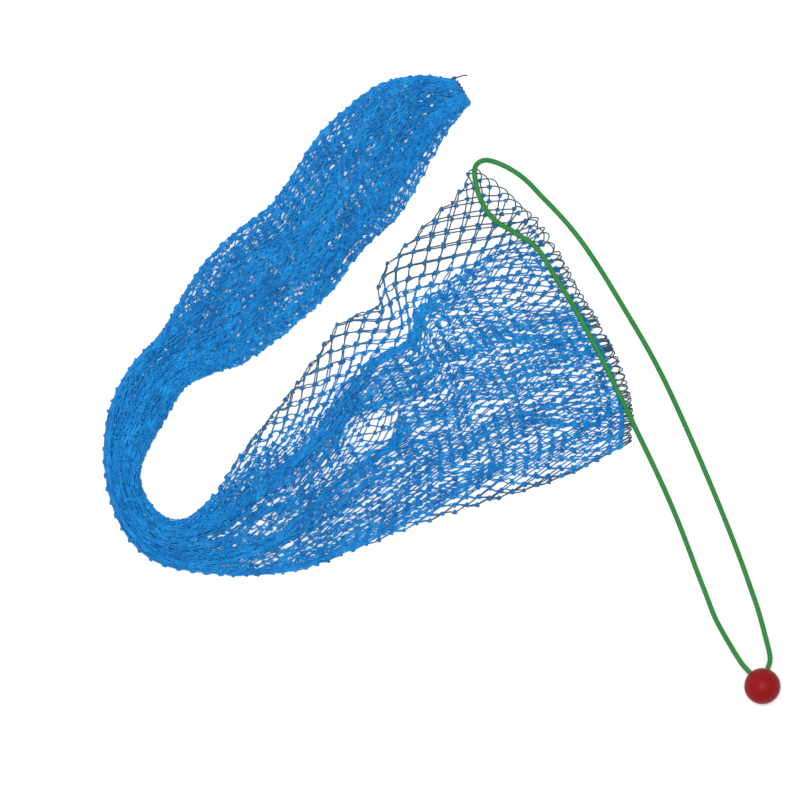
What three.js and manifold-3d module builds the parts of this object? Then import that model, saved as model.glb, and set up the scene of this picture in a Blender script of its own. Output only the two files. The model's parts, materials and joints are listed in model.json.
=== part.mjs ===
// A bag of knotted blue netting, laid flat in a U on the ground. Its tail is drawn shut with a
// twine, its mouth ends in a row of mesh loops, and a green drawcord lies round that mouth. Both
// ends of the drawcord are knotted inside a red ball that is clipped together from two half shells.
//
// Millimetres, +Z up. The ground is Z = 0 and the origin is the middle of the netting's plan.
import * as THREE from 'three';
import { mergeVertices } from 'three/addons/utils/BufferGeometryUtils.js';
import Module from 'manifold-3d';

const wasm = await Module();
wasm.setup();

// Netting
const TWINE_DIAMETER = 1.5;
const PLAN_SCALE_X = 1; // stretches the laid plan from side to side
const PLAN_SCALE_Y = 1; // stretches the laid plan from front to back
const WEBBING_EDGE_HEIGHT = 3; // two layers of twine and a knot
const WEBBING_FULLNESS = 1; // share of the heights in the stations below
const SECTION_GAP = 0.4;
const LOOP_COUNT = 20;
const LOOP_WIDTH = 10.5;
const LOOP_REACH = 15;
const LOOP_CLEARANCE = 0.4; // from the selvedge's face, and over the ground

// Twine that shuts the tail
const TAIL_TWINE_DIAMETER = 2.2;
const TAIL_KNOT_DIAMETER = 4.6;
const TAIL_CLEARANCE = 0.4;
const TAIL_RUN_INSET = 1.5; // from the inner corner to the run's start
const TAIL_RUN_BEND = 12; // from each corner to where the run bows out
const TAIL_RUN_BOWS = [0.6, 0.9]; // how far it bows out near the inner and the outer corner
const TAIL_END_STEPS = [6, 8.5, 10]; // how far out the loose end's points lie
const TAIL_END_CURL = [0.5, 4, 9]; // how far back over the tail it curls

// Drawcord and ball
const CORD_DIAMETER = 5;
const CORD_STEPS = 80;
const BALL_DIAMETER = 36;
const BALL_WALL = 3;
const BALL_SEAM_GAP = 0.3;
const HOLE_CLEARANCE = 0.5; // all round the cord where it enters the ball
const HOLE_ANGLES = [132.5, 73]; // degrees round the ball, from +X towards +Y
const STOPPER_DIAMETER = 8;
const STOPPER_OFFSET = 9; // from the ball's middle to a stopper knot's middle
const BOSS_DIAMETER = 5.6;
const BOSS_OFFSET = 10.6; // from the ball's middle to a boss's middle
const BOSS_ANGLES = [195, 282.75, 10.5];
const PEG_DIAMETER = 3;
const PEG_LENGTH = 5;
const PEG_CLEARANCE = 0.3;
const BALL_CENTRE = new THREE.Vector3(392.5, -360, BALL_DIAMETER / 2);

// Stations along the bag, from the shut tail round the bend to the mouth: the two edges of the
// netting in plan, its height at the middle, and how far the station bows towards the mouth.
const STATIONS = [
  { outer: [83, 245.5], inner: [101, 219.5], height: 8, bow: 0 },
  { outer: [56, 249.5], inner: [86, 200.5], height: 11, bow: 0 },
  { outer: [16, 243.5], inner: [68, 170.5], height: 12, bow: 0 },
  { outer: [-19, 220.5], inner: [49, 135.5], height: 12, bow: 0 },
  { outer: [-51, 190.5], inner: [27, 103.5], height: 12, bow: 0 },
  { outer: [-73, 156.5], inner: [-4, 75.5], height: 12, bow: 0 },
  { outer: [-99, 120.5], inner: [-34, 35.5], height: 12, bow: 0 },
  { outer: [-134, 93.5], inner: [-59, 10.5], height: 12, bow: 0 },
  { outer: [-164, 63.5], inner: [-89, -14.5], height: 12, bow: 0 },
  { outer: [-189, 25.5], inner: [-124, -39.5], height: 13, bow: 0 },
  { outer: [-209, -9.5], inner: [-164, -52.5], height: 15, bow: 0 },
  { outer: [-234, -34.5], inner: [-184, -65], height: 16, bow: 0 },
  { outer: [-257, -74.5], inner: [-198, -88], height: 17, bow: 0 },
  { outer: [-265, -114.5], inner: [-214, -114.5], height: 18, bow: 0 },
  { outer: [-265, -149.5], inner: [-227, -142.5], height: 18, bow: 0 },
  { outer: [-257, -184.5], inner: [-224, -164.5], height: 18, bow: 0 },
  { outer: [-239, -217.5], inner: [-211, -182.5], height: 17, bow: 0 },
  { outer: [-214, -238.5], inner: [-197, -190.5], height: 16, bow: 0 },
  { outer: [-179, -246.5], inner: [-179, -188.5], height: 15, bow: 0 },
  { outer: [-129, -250.5], inner: [-157, -164.5], height: 14, bow: 0 },
  { outer: [-69, -244.5], inner: [-129, -119.5], height: 12, bow: 0 },
  { outer: [-19, -227.5], inner: [-89, -74.5], height: 11, bow: 4 },
  { outer: [51, -201], inner: [-51, -22.5], height: 9.5, bow: 10 },
  { outer: [81, -190.5], inner: [-32, 5.5], height: 8.8, bow: 13 },
  { outer: [111, -179.5], inner: [7, 21.5], height: 8, bow: 16 },
  { outer: [141, -170.5], inner: [5, 53.5], height: 7.5, bow: 20 },
  { outer: [171, -161], inner: [33, 83], height: 7, bow: 24 },
  { outer: [211, -144.5], inner: [66, 125.5], height: 6.5, bow: 30 },
  { outer: [251, -122.5], inner: [95, 153.5], height: 6, bow: 33 },
];

// The netting's sections, each from one station to another.
const SECTIONS = [
  { name: 'webbing_tail_tip', from: 0, to: 2 },
  { name: 'webbing_tail_upper', from: 2, to: 4 },
  { name: 'webbing_tail_middle', from: 4, to: 6 },
  { name: 'webbing_tail_lower', from: 6, to: 9 },
  { name: 'webbing_bend_upper', from: 9, to: 12 },
  { name: 'webbing_bend_middle', from: 12, to: 14 },
  { name: 'webbing_bend_lower', from: 14, to: 16 },
  { name: 'webbing_turn', from: 16, to: 19 },
  { name: 'webbing_throat', from: 19, to: 21 },
  { name: 'webbing_body', from: 21, to: 24 },
  { name: 'webbing_mouth', from: 24, to: 27 },
  { name: 'webbing_selvedge', from: 27, to: 28 },
];
const STEPS_PER_STATION = 2;
const STEPS_ACROSS = 8;

// The drawcord's route: out of the ball, along the ground, up over the mouth of the netting, round
// its corner and back along the ground into the ball.
const CORD_ROUTE = [
  [380.1, -346.5, 18],
  [373, -338.7, 16.6],
  [366.1, -328.5, 12.4],
  [355, -309.5, 5.6],
  [343, -287.5, 2.9],
  [334, -265, 2.7],
  [324, -234.5, 2.7],
  [306, -186.5, 2.7],
  [291, -153.5, 3.4],
  [271, -112, 6],
  [258, -87.5, 8.4],
  [241.5, -49.5, 9.6],
  [223, -13.5, 10.2],
  [199, 29.5, 10.6],
  [182, 57.5, 10.6],
  [167, 79.5, 10.4],
  [154, 90.5, 10.2],
  [142, 93.5, 10.1],
  [126, 102.5, 9.9],
  [113, 120.5, 9.6],
  [105.5, 142.5, 8.8],
  [105.7, 158.8, 7.4],
  [115, 165.6, 5.6],
  [129, 163.5, 4],
  [154, 148.5, 2.7],
  [173, 130.5, 2.7],
  [199, 103.5, 2.7],
  [218, 79.5, 2.7],
  [237, 47.5, 2.7],
  [256, 14.5, 2.7],
  [286, -33.5, 2.7],
  [307, -79.5, 2.7],
  [339.5, -153.5, 2.7],
  [372, -234.5, 2.7],
  [382, -261, 2.7],
  [390, -287.5, 3],
  [395.5, -308.5, 6.8],
  [399.6, -325, 13.4],
  [400.3, -334.5, 16.9],
  [397.8, -342.5, 18],
];

const netting = new THREE.MeshStandardMaterial({ color: 0x2277bb, roughness: 0.55, metalness: 0 });
const twine = new THREE.MeshStandardMaterial({ color: 0x35566b, roughness: 0.6, metalness: 0 });
const cord = new THREE.MeshStandardMaterial({ color: 0x348b44, roughness: 0.65, metalness: 0 });
const plastic = new THREE.MeshStandardMaterial({ color: 0x95191e, roughness: 0.3, metalness: 0 });

const part = new THREE.Group();

function addMesh(name, geometry, material) {
  const mesh = new THREE.Mesh(geometry, material);
  mesh.name = name;
  part.add(mesh);
  return mesh;
}

// A closed mesh that shares its vertices, with only positions left.
function welded(geometry) {
  geometry.deleteAttribute('normal');
  geometry.deleteAttribute('uv');
  return mergeVertices(geometry, 1e-4);
}

function solidOf(geometry) {
  const closed = welded(geometry);
  const vertProperties = new Float32Array(closed.attributes.position.array);
  const triVerts = new Uint32Array(closed.index.array);
  return new wasm.Manifold(new wasm.Mesh({ numProp: 3, vertProperties, triVerts }));
}

function geometryOf(solid) {
  const mesh = solid.getMesh();
  const geometry = new THREE.BufferGeometry();
  const positions = new THREE.BufferAttribute(new Float32Array(mesh.vertProperties), 3);
  geometry.setAttribute('position', positions);
  geometry.setIndex(new THREE.BufferAttribute(new Uint32Array(mesh.triVerts), 1));
  return geometry;
}

// A round section swept along a curve, with flat ends.
function sweptTube(curve, diameter, steps, sides) {
  const section = new THREE.Shape();
  for (let i = 0; i < sides; i++) {
    const angle = (2 * Math.PI * i) / sides;
    const x = (diameter / 2) * Math.cos(angle);
    const y = (diameter / 2) * Math.sin(angle);
    if (i === 0) section.moveTo(x, y);
    else section.lineTo(x, y);
  }
  section.closePath();
  return new THREE.ExtrudeGeometry(section, { steps, curveSegments: 1, extrudePath: curve });
}

// --- Netting -------------------------------------------------------------------------------

function edgeCurve(side) {
  const points = STATIONS.map(
    (s) => new THREE.Vector3(s[side][0] * PLAN_SCALE_X, s[side][1] * PLAN_SCALE_Y, 0)
  );
  return new THREE.CatmullRomCurve3(points, false, 'catmullrom', 0.5);
}

const edges = { inner: edgeCurve('inner'), outer: edgeCurve('outer') };
const lastStation = STATIONS.length - 1;

// A value of the stations between two of them, by straight proportion.
function stationValue(key, station) {
  const low = Math.min(Math.floor(station), lastStation - 1);
  return THREE.MathUtils.lerp(STATIONS[low][key], STATIONS[low + 1][key], station - low);
}

// Fullness across the bag: 0 at both edges, 1 over most of the middle.
function fullness(across) {
  return 1 - (2 * across - 1) ** 4;
}

// The plan point at a station and a share of the way from the inner edge to the outer one.
function planPoint(station, across) {
  const inner = edges.inner.getPoint(station / lastStation);
  const outer = edges.outer.getPoint(station / lastStation);
  const width = outer.clone().sub(inner);
  const forward = new THREE.Vector3(-width.y, width.x, 0).normalize();
  const bow = stationValue('bow', station) * fullness(across);
  return inner.addScaledVector(width, across).addScaledVector(forward, bow);
}

function webbingHeight(station, across) {
  const middle = stationValue('height', station) * WEBBING_FULLNESS;
  const above = Math.max(middle - WEBBING_EDGE_HEIGHT, 0);
  return WEBBING_EDGE_HEIGHT + above * fullness(across);
}

// How much of one station half the gap between two sections takes, on their shorter edge.
function halfGap(station) {
  const span = (side) => {
    const [ax, ay] = STATIONS[station][side];
    const [bx, by] = STATIONS[station + 1][side];
    return Math.hypot((bx - ax) * PLAN_SCALE_X, (by - ay) * PLAN_SCALE_Y);
  };
  return SECTION_GAP / 2 / Math.min(span('inner'), span('outer'));
}

// One section: a box whose corners are laid on the plan, flat below and crowned above.
function webbingSection({ from, to }) {
  const steps = (to - from) * STEPS_PER_STATION;
  const box = new THREE.BoxGeometry(1, 1, 1, STEPS_ACROSS, steps, 1);
  const start = from === 0 ? from : from + halfGap(from);
  const end = to === lastStation ? to : to - halfGap(to - 1);
  const corners = box.attributes.position;
  for (let i = 0; i < corners.count; i++) {
    const across = corners.getX(i) + 0.5;
    const station = THREE.MathUtils.lerp(start, end, corners.getY(i) + 0.5);
    const point = planPoint(station, across);
    const z = corners.getZ(i) > 0 ? webbingHeight(station, across) : 0;
    corners.setXYZ(i, point.x, point.y, z);
  }
  return welded(box);
}

for (const section of SECTIONS) addMesh(section.name, webbingSection(section), netting);

// --- Mesh loops of the selvedge ------------------------------------------------------------

// The mouth's edge as evenly spaced places, each with the directions along it and out of it.
function mouthPlaces(count) {
  const samples = [];
  for (let i = 0; i <= 200; i++) samples.push(planPoint(lastStation, i / 200));
  const edge = new THREE.CatmullRomCurve3(samples);
  const places = [];
  for (let i = 0; i < count; i++) {
    const share = (i + 0.5) / count;
    const along = edge.getTangentAt(share);
    const out = new THREE.Vector3(-along.y, along.x, 0);
    places.push({ base: edge.getPointAt(share), along, out });
  }
  return places;
}

function meshLoop({ base, along, out }) {
  const outline = [
    [-0.5, 0],
    [-0.42, 0.35],
    [-0.36, 0.72],
    [0, 1],
    [0.36, 0.72],
    [0.42, 0.35],
    [0.5, 0],
  ];
  const foot = LOOP_CLEARANCE + TWINE_DIAMETER / 2;
  const points = outline.map(([side, reach]) => {
    const point = base.clone().addScaledVector(along, side * LOOP_WIDTH);
    point.addScaledVector(out, foot + reach * (LOOP_REACH - foot));
    return point.setZ(foot);
  });
  return sweptTube(new THREE.CatmullRomCurve3(points), TWINE_DIAMETER, 10, 6);
}

mouthPlaces(LOOP_COUNT).forEach((place, i) => {
  const number = String(i + 1).padStart(2, '0');
  addMesh(`mouth_loop_${number}`, meshLoop(place), netting);
});

// --- Twine that shuts the tail -------------------------------------------------------------

function tailTwine() {
  const innerCorner = planPoint(0, 0);
  const outerCorner = planPoint(0, 1);
  const along = outerCorner.clone().sub(innerCorner).normalize();
  const out = new THREE.Vector3(along.y, -along.x, 0);
  const stand = TAIL_CLEARANCE + TAIL_TWINE_DIAMETER / 2;
  const knotStand = TAIL_CLEARANCE + TAIL_KNOT_DIAMETER / 2;
  const knotReach = TAIL_KNOT_DIAMETER / 2 + TAIL_CLEARANCE;
  const height = TAIL_KNOT_DIAMETER / 2 + TAIL_CLEARANCE;
  const place = (from, forward, outward, z) =>
    from.clone().addScaledVector(along, forward).addScaledVector(out, outward).setZ(z);

  const run = [
    place(innerCorner, TAIL_RUN_INSET, stand, height),
    place(innerCorner, TAIL_RUN_BEND, stand + TAIL_RUN_BOWS[0], height),
    place(outerCorner, -TAIL_RUN_BEND, stand + TAIL_RUN_BOWS[1], height),
    place(outerCorner, -knotReach, knotStand, height),
  ];
  const runCurve = new THREE.CatmullRomCurve3(run);
  addMesh('tail_closing_twine', sweptTube(runCurve, TAIL_TWINE_DIAMETER, 8, 8), twine);

  const knot = new THREE.SphereGeometry(TAIL_KNOT_DIAMETER / 2, 12, 8);
  const knotPlace = place(outerCorner, 0, knotStand, height);
  addMesh('tail_twine_knot', welded(knot), twine).position.copy(knotPlace);

  const onGround = TWINE_DIAMETER * 0.6;
  const endHeights = [height * 0.7, onGround, onGround];
  const loose = [place(outerCorner, 0, knotStand + knotReach + TWINE_DIAMETER / 2, height)];
  TAIL_END_STEPS.forEach((step, i) => {
    loose.push(place(outerCorner, -TAIL_END_CURL[i], knotStand + step, endHeights[i]));
  });
  const looseCurve = new THREE.CatmullRomCurve3(loose);
  addMesh('tail_twine_end', sweptTube(looseCurve, TWINE_DIAMETER, 8, 6), twine);
}

tailTwine();

// --- Drawcord ------------------------------------------------------------------------------

function drawcord() {
  const points = CORD_ROUTE.map(([x, y, z]) => new THREE.Vector3(x, y, z));
  const route = new THREE.CatmullRomCurve3(points, false, 'centripetal');
  addMesh('drawcord', sweptTube(route, CORD_DIAMETER, CORD_STEPS, 10), cord);
}

drawcord();

// --- Ball ----------------------------------------------------------------------------------

const ballRadius = BALL_DIAMETER / 2;
const cavityRadius = ballRadius - BALL_WALL;
const SHELL_SEGMENTS = 32;
const SHELL_RINGS = 8;
const CAVITY_SEGMENTS = 20;
const CAVITY_RINGS = 5;

function direction(degrees) {
  const angle = THREE.MathUtils.degToRad(degrees);
  return new THREE.Vector3(Math.cos(angle), Math.sin(angle), 0);
}

// A half sphere below Z = 0, with a flat top.
function halfSphere(radius, segments, rings) {
  const profile = [];
  for (let i = 0; i <= rings; i++) {
    const angle = (Math.PI / 2) * (i / rings);
    profile.push(new THREE.Vector2(radius * Math.sin(angle), -radius * Math.cos(angle)));
  }
  profile.push(new THREE.Vector2(0, 0));
  return solidOf(new THREE.LatheGeometry(profile, segments).rotateX(Math.PI / 2));
}

// An upright round bar between two heights.
function post(diameter, low, high, place) {
  const bar = new THREE.CylinderGeometry(diameter / 2, diameter / 2, high - low, 12);
  bar.rotateX(Math.PI / 2);
  bar.translate(place.x, place.y, (low + high) / 2);
  return solidOf(bar);
}

// A level round bar from the ball's middle outwards.
function hole(degrees) {
  const diameter = CORD_DIAMETER + 2 * HOLE_CLEARANCE;
  const bar = new THREE.CylinderGeometry(diameter / 2, diameter / 2, BALL_DIAMETER, 16);
  bar.translate(0, ballRadius, 0);
  bar.rotateZ(THREE.MathUtils.degToRad(degrees - 90));
  return solidOf(bar);
}

// A lower half shell about the ball's middle, with its bosses and their pegs or sockets.
function shell(withPegs) {
  const ball = halfSphere(ballRadius, SHELL_SEGMENTS, SHELL_RINGS);
  const cavity = halfSphere(cavityRadius, CAVITY_SEGMENTS, CAVITY_RINGS);
  let solid = ball.subtract(cavity);
  for (const degrees of BOSS_ANGLES) {
    const place = direction(degrees).multiplyScalar(BOSS_OFFSET);
    const boss = post(BOSS_DIAMETER, -ballRadius, 0, place);
    solid = solid.add(boss.intersect(ball));
  }
  const trim = new THREE.BoxGeometry(2 * BALL_DIAMETER, 2 * BALL_DIAMETER, BALL_SEAM_GAP);
  solid = solid.subtract(solidOf(trim));
  for (const degrees of HOLE_ANGLES) solid = solid.subtract(hole(degrees));
  for (const degrees of BOSS_ANGLES) {
    const place = direction(degrees).multiplyScalar(BOSS_OFFSET);
    if (withPegs) {
      solid = solid.add(post(PEG_DIAMETER, -BALL_SEAM_GAP, PEG_LENGTH, place));
    } else {
      const socket = PEG_DIAMETER + 2 * PEG_CLEARANCE;
      const depth = PEG_LENGTH + BALL_SEAM_GAP + PEG_CLEARANCE;
      solid = solid.subtract(post(socket, -depth, 1, place));
    }
  }
  return geometryOf(solid);
}

// The knot in one end of the drawcord, with the stretch of cord that fills the ball's hole.
function stopper() {
  const profile = [];
  const knotRadius = STOPPER_DIAMETER / 2;
  const cordRadius = CORD_DIAMETER / 2;
  const neck = Math.PI - Math.asin(cordRadius / knotRadius);
  const rings = 7;
  for (let i = 0; i <= rings; i++) {
    const angle = neck * (i / rings);
    const x = knotRadius * Math.sin(angle);
    profile.push(new THREE.Vector2(i === 0 ? 0 : x, STOPPER_OFFSET - knotRadius * Math.cos(angle)));
  }
  const end = Math.sqrt(ballRadius ** 2 - cordRadius ** 2);
  profile.push(new THREE.Vector2(cordRadius, end));
  profile.push(new THREE.Vector2(0, end));
  return welded(new THREE.LatheGeometry(profile, 12));
}

function ball() {
  const lower = addMesh('ball_lower_shell', shell(false), plastic);
  lower.position.copy(BALL_CENTRE);

  // The upper half mirrors the lower one in Z, with its faces turned back to point outwards.
  const upperGeometry = shell(true).scale(1, 1, -1);
  const index = upperGeometry.index.array;
  for (let i = 0; i < index.length; i += 3) {
    [index[i], index[i + 1]] = [index[i + 1], index[i]];
  }
  const upper = addMesh('ball_upper_shell', upperGeometry, plastic);
  upper.position.copy(BALL_CENTRE);

  ['stopper_knot_left', 'stopper_knot_right'].forEach((name, i) => {
    const knot = addMesh(name, stopper(), cord);
    knot.position.copy(BALL_CENTRE);
    knot.rotation.z = THREE.MathUtils.degToRad(HOLE_ANGLES[i] - 90);
  });
}

ball();

export default part;
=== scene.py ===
"""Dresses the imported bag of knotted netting, its drawcord and its cord ball.

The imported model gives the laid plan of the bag, its heights, and where the cord, the ball and the
tail's twine lie. The netting is then laid knot by knot on that plan, and everything is in metres.
"""

import json
import logging
import math
from collections.abc import Sequence
from dataclasses import dataclass, field
from enum import Enum

import bmesh
import bpy
import numpy as np
from mathutils import Matrix, Vector

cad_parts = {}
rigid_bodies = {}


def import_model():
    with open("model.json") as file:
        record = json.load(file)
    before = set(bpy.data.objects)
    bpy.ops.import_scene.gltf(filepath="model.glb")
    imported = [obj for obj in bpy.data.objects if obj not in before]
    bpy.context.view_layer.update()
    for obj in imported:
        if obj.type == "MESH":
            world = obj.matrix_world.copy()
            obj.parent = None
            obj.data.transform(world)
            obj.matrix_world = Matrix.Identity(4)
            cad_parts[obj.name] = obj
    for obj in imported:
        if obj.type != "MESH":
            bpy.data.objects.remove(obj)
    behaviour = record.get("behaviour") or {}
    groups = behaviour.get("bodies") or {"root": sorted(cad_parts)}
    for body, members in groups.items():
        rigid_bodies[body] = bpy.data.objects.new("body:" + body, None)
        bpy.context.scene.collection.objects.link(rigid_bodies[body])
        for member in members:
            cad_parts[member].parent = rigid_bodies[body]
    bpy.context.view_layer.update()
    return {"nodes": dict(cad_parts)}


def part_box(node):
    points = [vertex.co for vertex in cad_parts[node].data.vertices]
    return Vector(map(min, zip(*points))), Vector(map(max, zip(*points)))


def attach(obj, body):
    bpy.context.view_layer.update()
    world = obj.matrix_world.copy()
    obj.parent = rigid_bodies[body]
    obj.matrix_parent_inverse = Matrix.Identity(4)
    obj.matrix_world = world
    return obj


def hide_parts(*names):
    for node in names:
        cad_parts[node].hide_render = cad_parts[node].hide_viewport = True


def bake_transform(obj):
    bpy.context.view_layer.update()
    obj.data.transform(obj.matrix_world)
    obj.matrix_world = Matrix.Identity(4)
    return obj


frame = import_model()

LOG = logging.getLogger("net_bag")

TAIL_SECTIONS = ("webbing_tail_tip", "webbing_tail_upper", "webbing_tail_middle", "webbing_tail_lower")
BEND_SECTIONS = ("webbing_bend_upper", "webbing_bend_middle", "webbing_bend_lower")
TURN_SECTIONS = ("webbing_turn",)
MOUTH_SECTIONS = ("webbing_throat", "webbing_body", "webbing_mouth", "webbing_selvedge")
SECTIONS = TAIL_SECTIONS + BEND_SECTIONS + TURN_SECTIONS + MOUTH_SECTIONS

Colour = tuple[float, float, float]


class Body(Enum):
    """The bodies that pieces ride on."""

    NET = "net"
    TAIL = "tail"
    DRAWCORD = "drawcord"
    BALL = "ball"


class Slot(Enum):
    """The record's material slots."""

    NETTING = "netting"
    TWINE = "twine"
    CORD = "cord"
    BALL = "ball"


class Held(Enum):
    """How a stretch of netting is held."""

    GATHERED = "gathered"
    LAID = "laid"


# ---------------------------------------------------------------------------------------
# Shader building
# ---------------------------------------------------------------------------------------


@dataclass
class NodeSketch:
    """A node tree with short ways to add, set and join its nodes."""

    tree: bpy.types.NodeTree

    def add(self, kind: str, given: dict | None = None, **settings: object) -> bpy.types.Node:
        """Adds a node.

        Args:
            kind: The node's kind.
            given: Values or output sockets for its inputs, by name or number.
            settings: The node's own properties.

        Returns:
            The node.
        """
        node = self.tree.nodes.new(kind)
        for name, value in settings.items():
            setattr(node, name, value)
        self.set(node, given or {})
        return node

    def set(self, node: bpy.types.Node, given: dict) -> None:
        """Sets a node's inputs to values, or links output sockets to them."""
        for label, value in given.items():
            socket = node.inputs[label]
            if isinstance(value, bpy.types.NodeSocket):
                self.join(value, socket)
            else:
                socket.default_value = value

    def join(self, source: bpy.types.NodeSocket, target: bpy.types.NodeSocket) -> None:
        """Links an output to an input."""
        self.tree.links.new(source, target)

    def math(self, operation: str, *values: object) -> bpy.types.NodeSocket:
        """Works out numbers or sockets with one operation."""
        return self.add("ShaderNodeMath", dict(enumerate(values)), operation=operation).outputs[0]

    def mix(self, share: object, low: object, high: object) -> bpy.types.NodeSocket:
        """Mixes two colours.

        Args:
            share: How much of the second colour shows.
            low: The first colour, as a value or a socket.
            high: The second colour.

        Returns:
            The mixed colour's socket.
        """
        given = {0: share, 6: rgba(low), 7: rgba(high)}
        return self.add("ShaderNodeMix", given, data_type="RGBA", clamp_factor=True).outputs[2]

    def spread(self, value: object, low: float, high: float) -> bpy.types.NodeSocket:
        """Maps a range of numbers onto 0 to 1, clamped at its ends."""
        given = dict(enumerate((value, low, high, 0.0, 1.0)))
        return self.add("ShaderNodeMapRange", given, clamp=True).outputs[0]

    def own(self, name: str, output: str = "Fac") -> bpy.types.NodeSocket:
        """Reads one of the mesh's own attributes."""
        node = self.add("ShaderNodeAttribute", attribute_type="GEOMETRY", attribute_name=name)
        return node.outputs[output]

    def place(self) -> bpy.types.NodeSocket:
        """The place on the piece, in its own coordinates."""
        return self.add("ShaderNodeTexCoord").outputs["Object"]

    def noise(self, place: bpy.types.NodeSocket, scale: object, detail: float) -> bpy.types.NodeSocket:
        """A noise value that follows a place."""
        given = {"Vector": place, "Scale": scale, "Detail": detail}
        return self.add("ShaderNodeTexNoise", given, noise_dimensions="3D").outputs[0]

    def group(self, tree: bpy.types.NodeTree, **values: float) -> bpy.types.Node:
        """Places a node group with its own values."""
        return self.add("ShaderNodeGroup", values, node_tree=tree)


def rgba(value: object) -> object:
    """Adds full alpha to a colour, and leaves a socket as it is."""
    if isinstance(value, tuple) and len(value) == 3:
        return (*value, 1.0)
    return value


def shader_group(
    name: str, inputs: dict[str, float], outputs: Sequence[str]
) -> tuple[NodeSketch, dict, dict]:
    """Starts a shader node group of plain numbers.

    Args:
        name: The group's name.
        inputs: Its inputs and their first values.
        outputs: Its outputs.

    Returns:
        The group's sketch, its input sockets and its output sockets, by name.
    """
    tree = bpy.data.node_groups.new(name, "ShaderNodeTree")
    kind = "NodeSocketFloat"
    for label, value in inputs.items():
        tree.interface.new_socket(label, in_out="INPUT", socket_type=kind).default_value = value
    for label in outputs:
        tree.interface.new_socket(label, in_out="OUTPUT", socket_type=kind)
    sketch = NodeSketch(tree)
    entry, leave = sketch.add("NodeGroupInput"), sketch.add("NodeGroupOutput")
    given = {label: entry.outputs[label] for label in inputs}
    return sketch, given, {label: leave.inputs[label] for label in outputs}


def twine_lay_group() -> bpy.types.NodeTree:
    """Plies that wind round a twine, from the attributes that run along it and round it.

    Returns:
        A group that puts out the plies' height, and a painted shade that is 0 in the grooves, for darkening
        the colour there.
    """
    first = {"Plies": 3.0, "Lay": 0.006, "Groove": 0.6}
    sketch, given, out = shader_group("twine_lay", first, ("Height", "Shade"))
    ring = sketch.add("ShaderNodeSeparateXYZ", {0: sketch.own("ring", "Vector")})
    angle = sketch.math("ARCTAN2", ring.outputs[1], ring.outputs[0])
    turns = sketch.math("DIVIDE", sketch.own("along"), given["Lay"])
    wound = sketch.math("ADD", angle, sketch.math("MULTIPLY", turns, 2 * math.pi))
    half_plies = sketch.math("MULTIPLY", given["Plies"], 0.5)
    height = sketch.math("ABSOLUTE", sketch.math("SINE", sketch.math("MULTIPLY", wound, half_plies)))
    sketch.join(height, out["Height"])
    # Painted shade in the grooves between the plies; Groove sets how dark it is.
    depth = sketch.math("MULTIPLY", sketch.math("SUBTRACT", 1.0, height), given["Groove"])
    sketch.join(sketch.math("SUBTRACT", 1.0, depth), out["Shade"])
    return sketch.tree


def handling_group() -> bpy.types.NodeTree:
    """Uneven dye, sun and handling, as slow drifts over a piece.

    Returns:
        A group that puts out a drift in tone and a drift in gloss, both around 0.
    """
    first = {"Scale": 30.0, "Tone": 0.2, "Gloss": 0.1}
    sketch, given, out = shader_group("handling", first, ("Tone", "Gloss"))
    place = sketch.place()
    for label, finer in (("Tone", 1.0), ("Gloss", 2.7)):
        scale = sketch.math("MULTIPLY", given["Scale"], finer)
        centred = sketch.math("SUBTRACT", sketch.noise(place, scale, 3.0), 0.5)
        sketch.join(sketch.math("MULTIPLY", centred, given[label]), out[label])
    return sketch.tree


@dataclass(frozen=True)
class SharedEffects:
    """The node groups that more than one material uses."""

    twine_lay: bpy.types.NodeTree
    handling: bpy.types.NodeTree


def new_material(name: str) -> tuple[bpy.types.Material, NodeSketch, bpy.types.Node]:
    """Starts a material with one Principled shader.

    Args:
        name: The material's name.

    Returns:
        The material, its sketch, and the shader.
    """
    material = bpy.data.materials.new(name)
    material.use_nodes = True
    material.node_tree.nodes.clear()
    sketch = NodeSketch(material.node_tree)
    shader = sketch.add("ShaderNodeBsdfPrincipled")
    sketch.join(shader.outputs[0], sketch.add("ShaderNodeOutputMaterial").inputs[0])
    return material, sketch, shader


def bump(sketch: NodeSketch, height: object, depth: float, strength: float) -> bpy.types.NodeSocket:
    """A normal raised by a height from 0 to 1 times a depth in metres."""
    given = {"Strength": strength, "Distance": depth, "Height": height}
    return sketch.add("ShaderNodeBump", given).outputs[0]


@dataclass(frozen=True)
class NylonTwine:
    """Laid nylon twine, dyed through, with plies that show, painted shade in their grooves, and strands of
    slightly different tone.
    """

    name: str
    deep: Colour
    bright: Colour
    lone: Colour
    roughness: float = 0.42
    specular: float = 0.16
    lay: float = 0.0045
    plies: float = 3.0
    relief: float = 0.0002

    def material(self, effects: SharedEffects) -> bpy.types.Material:
        """Builds the material.

        Args:
            effects: The shared node groups.

        Returns:
            The material, which reads the attributes tint and lone of a twine's mesh.
        """
        material, sketch, shader = new_material(self.name)
        # The group's Shade output is painted shade for the grooves between the plies.
        lay = sketch.group(effects.twine_lay, Plies=self.plies, Lay=self.lay, Groove=0.45)
        drift = sketch.group(effects.handling, Scale=26.0, Tone=0.9, Gloss=0.25)
        tint = sketch.math("ADD", sketch.own("tint"), drift.outputs["Tone"])
        dyed = sketch.mix(sketch.spread(tint, -0.2, 1.2), self.deep, self.bright)
        thinned = sketch.mix(sketch.own("lone"), dyed, self.lone)
        given = {
            # Painted shade: the colour is darkened towards black in the ply grooves.
            "Base Color": sketch.mix(lay.outputs["Shade"], (0.0, 0.0, 0.0), thinned),
            "Roughness": sketch.math("ADD", drift.outputs["Gloss"], self.roughness),
            "Specular IOR Level": self.specular,
            "Normal": bump(sketch, lay.outputs["Height"], self.relief, 0.7),
        }
        sketch.set(shader, given)
        return material


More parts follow.
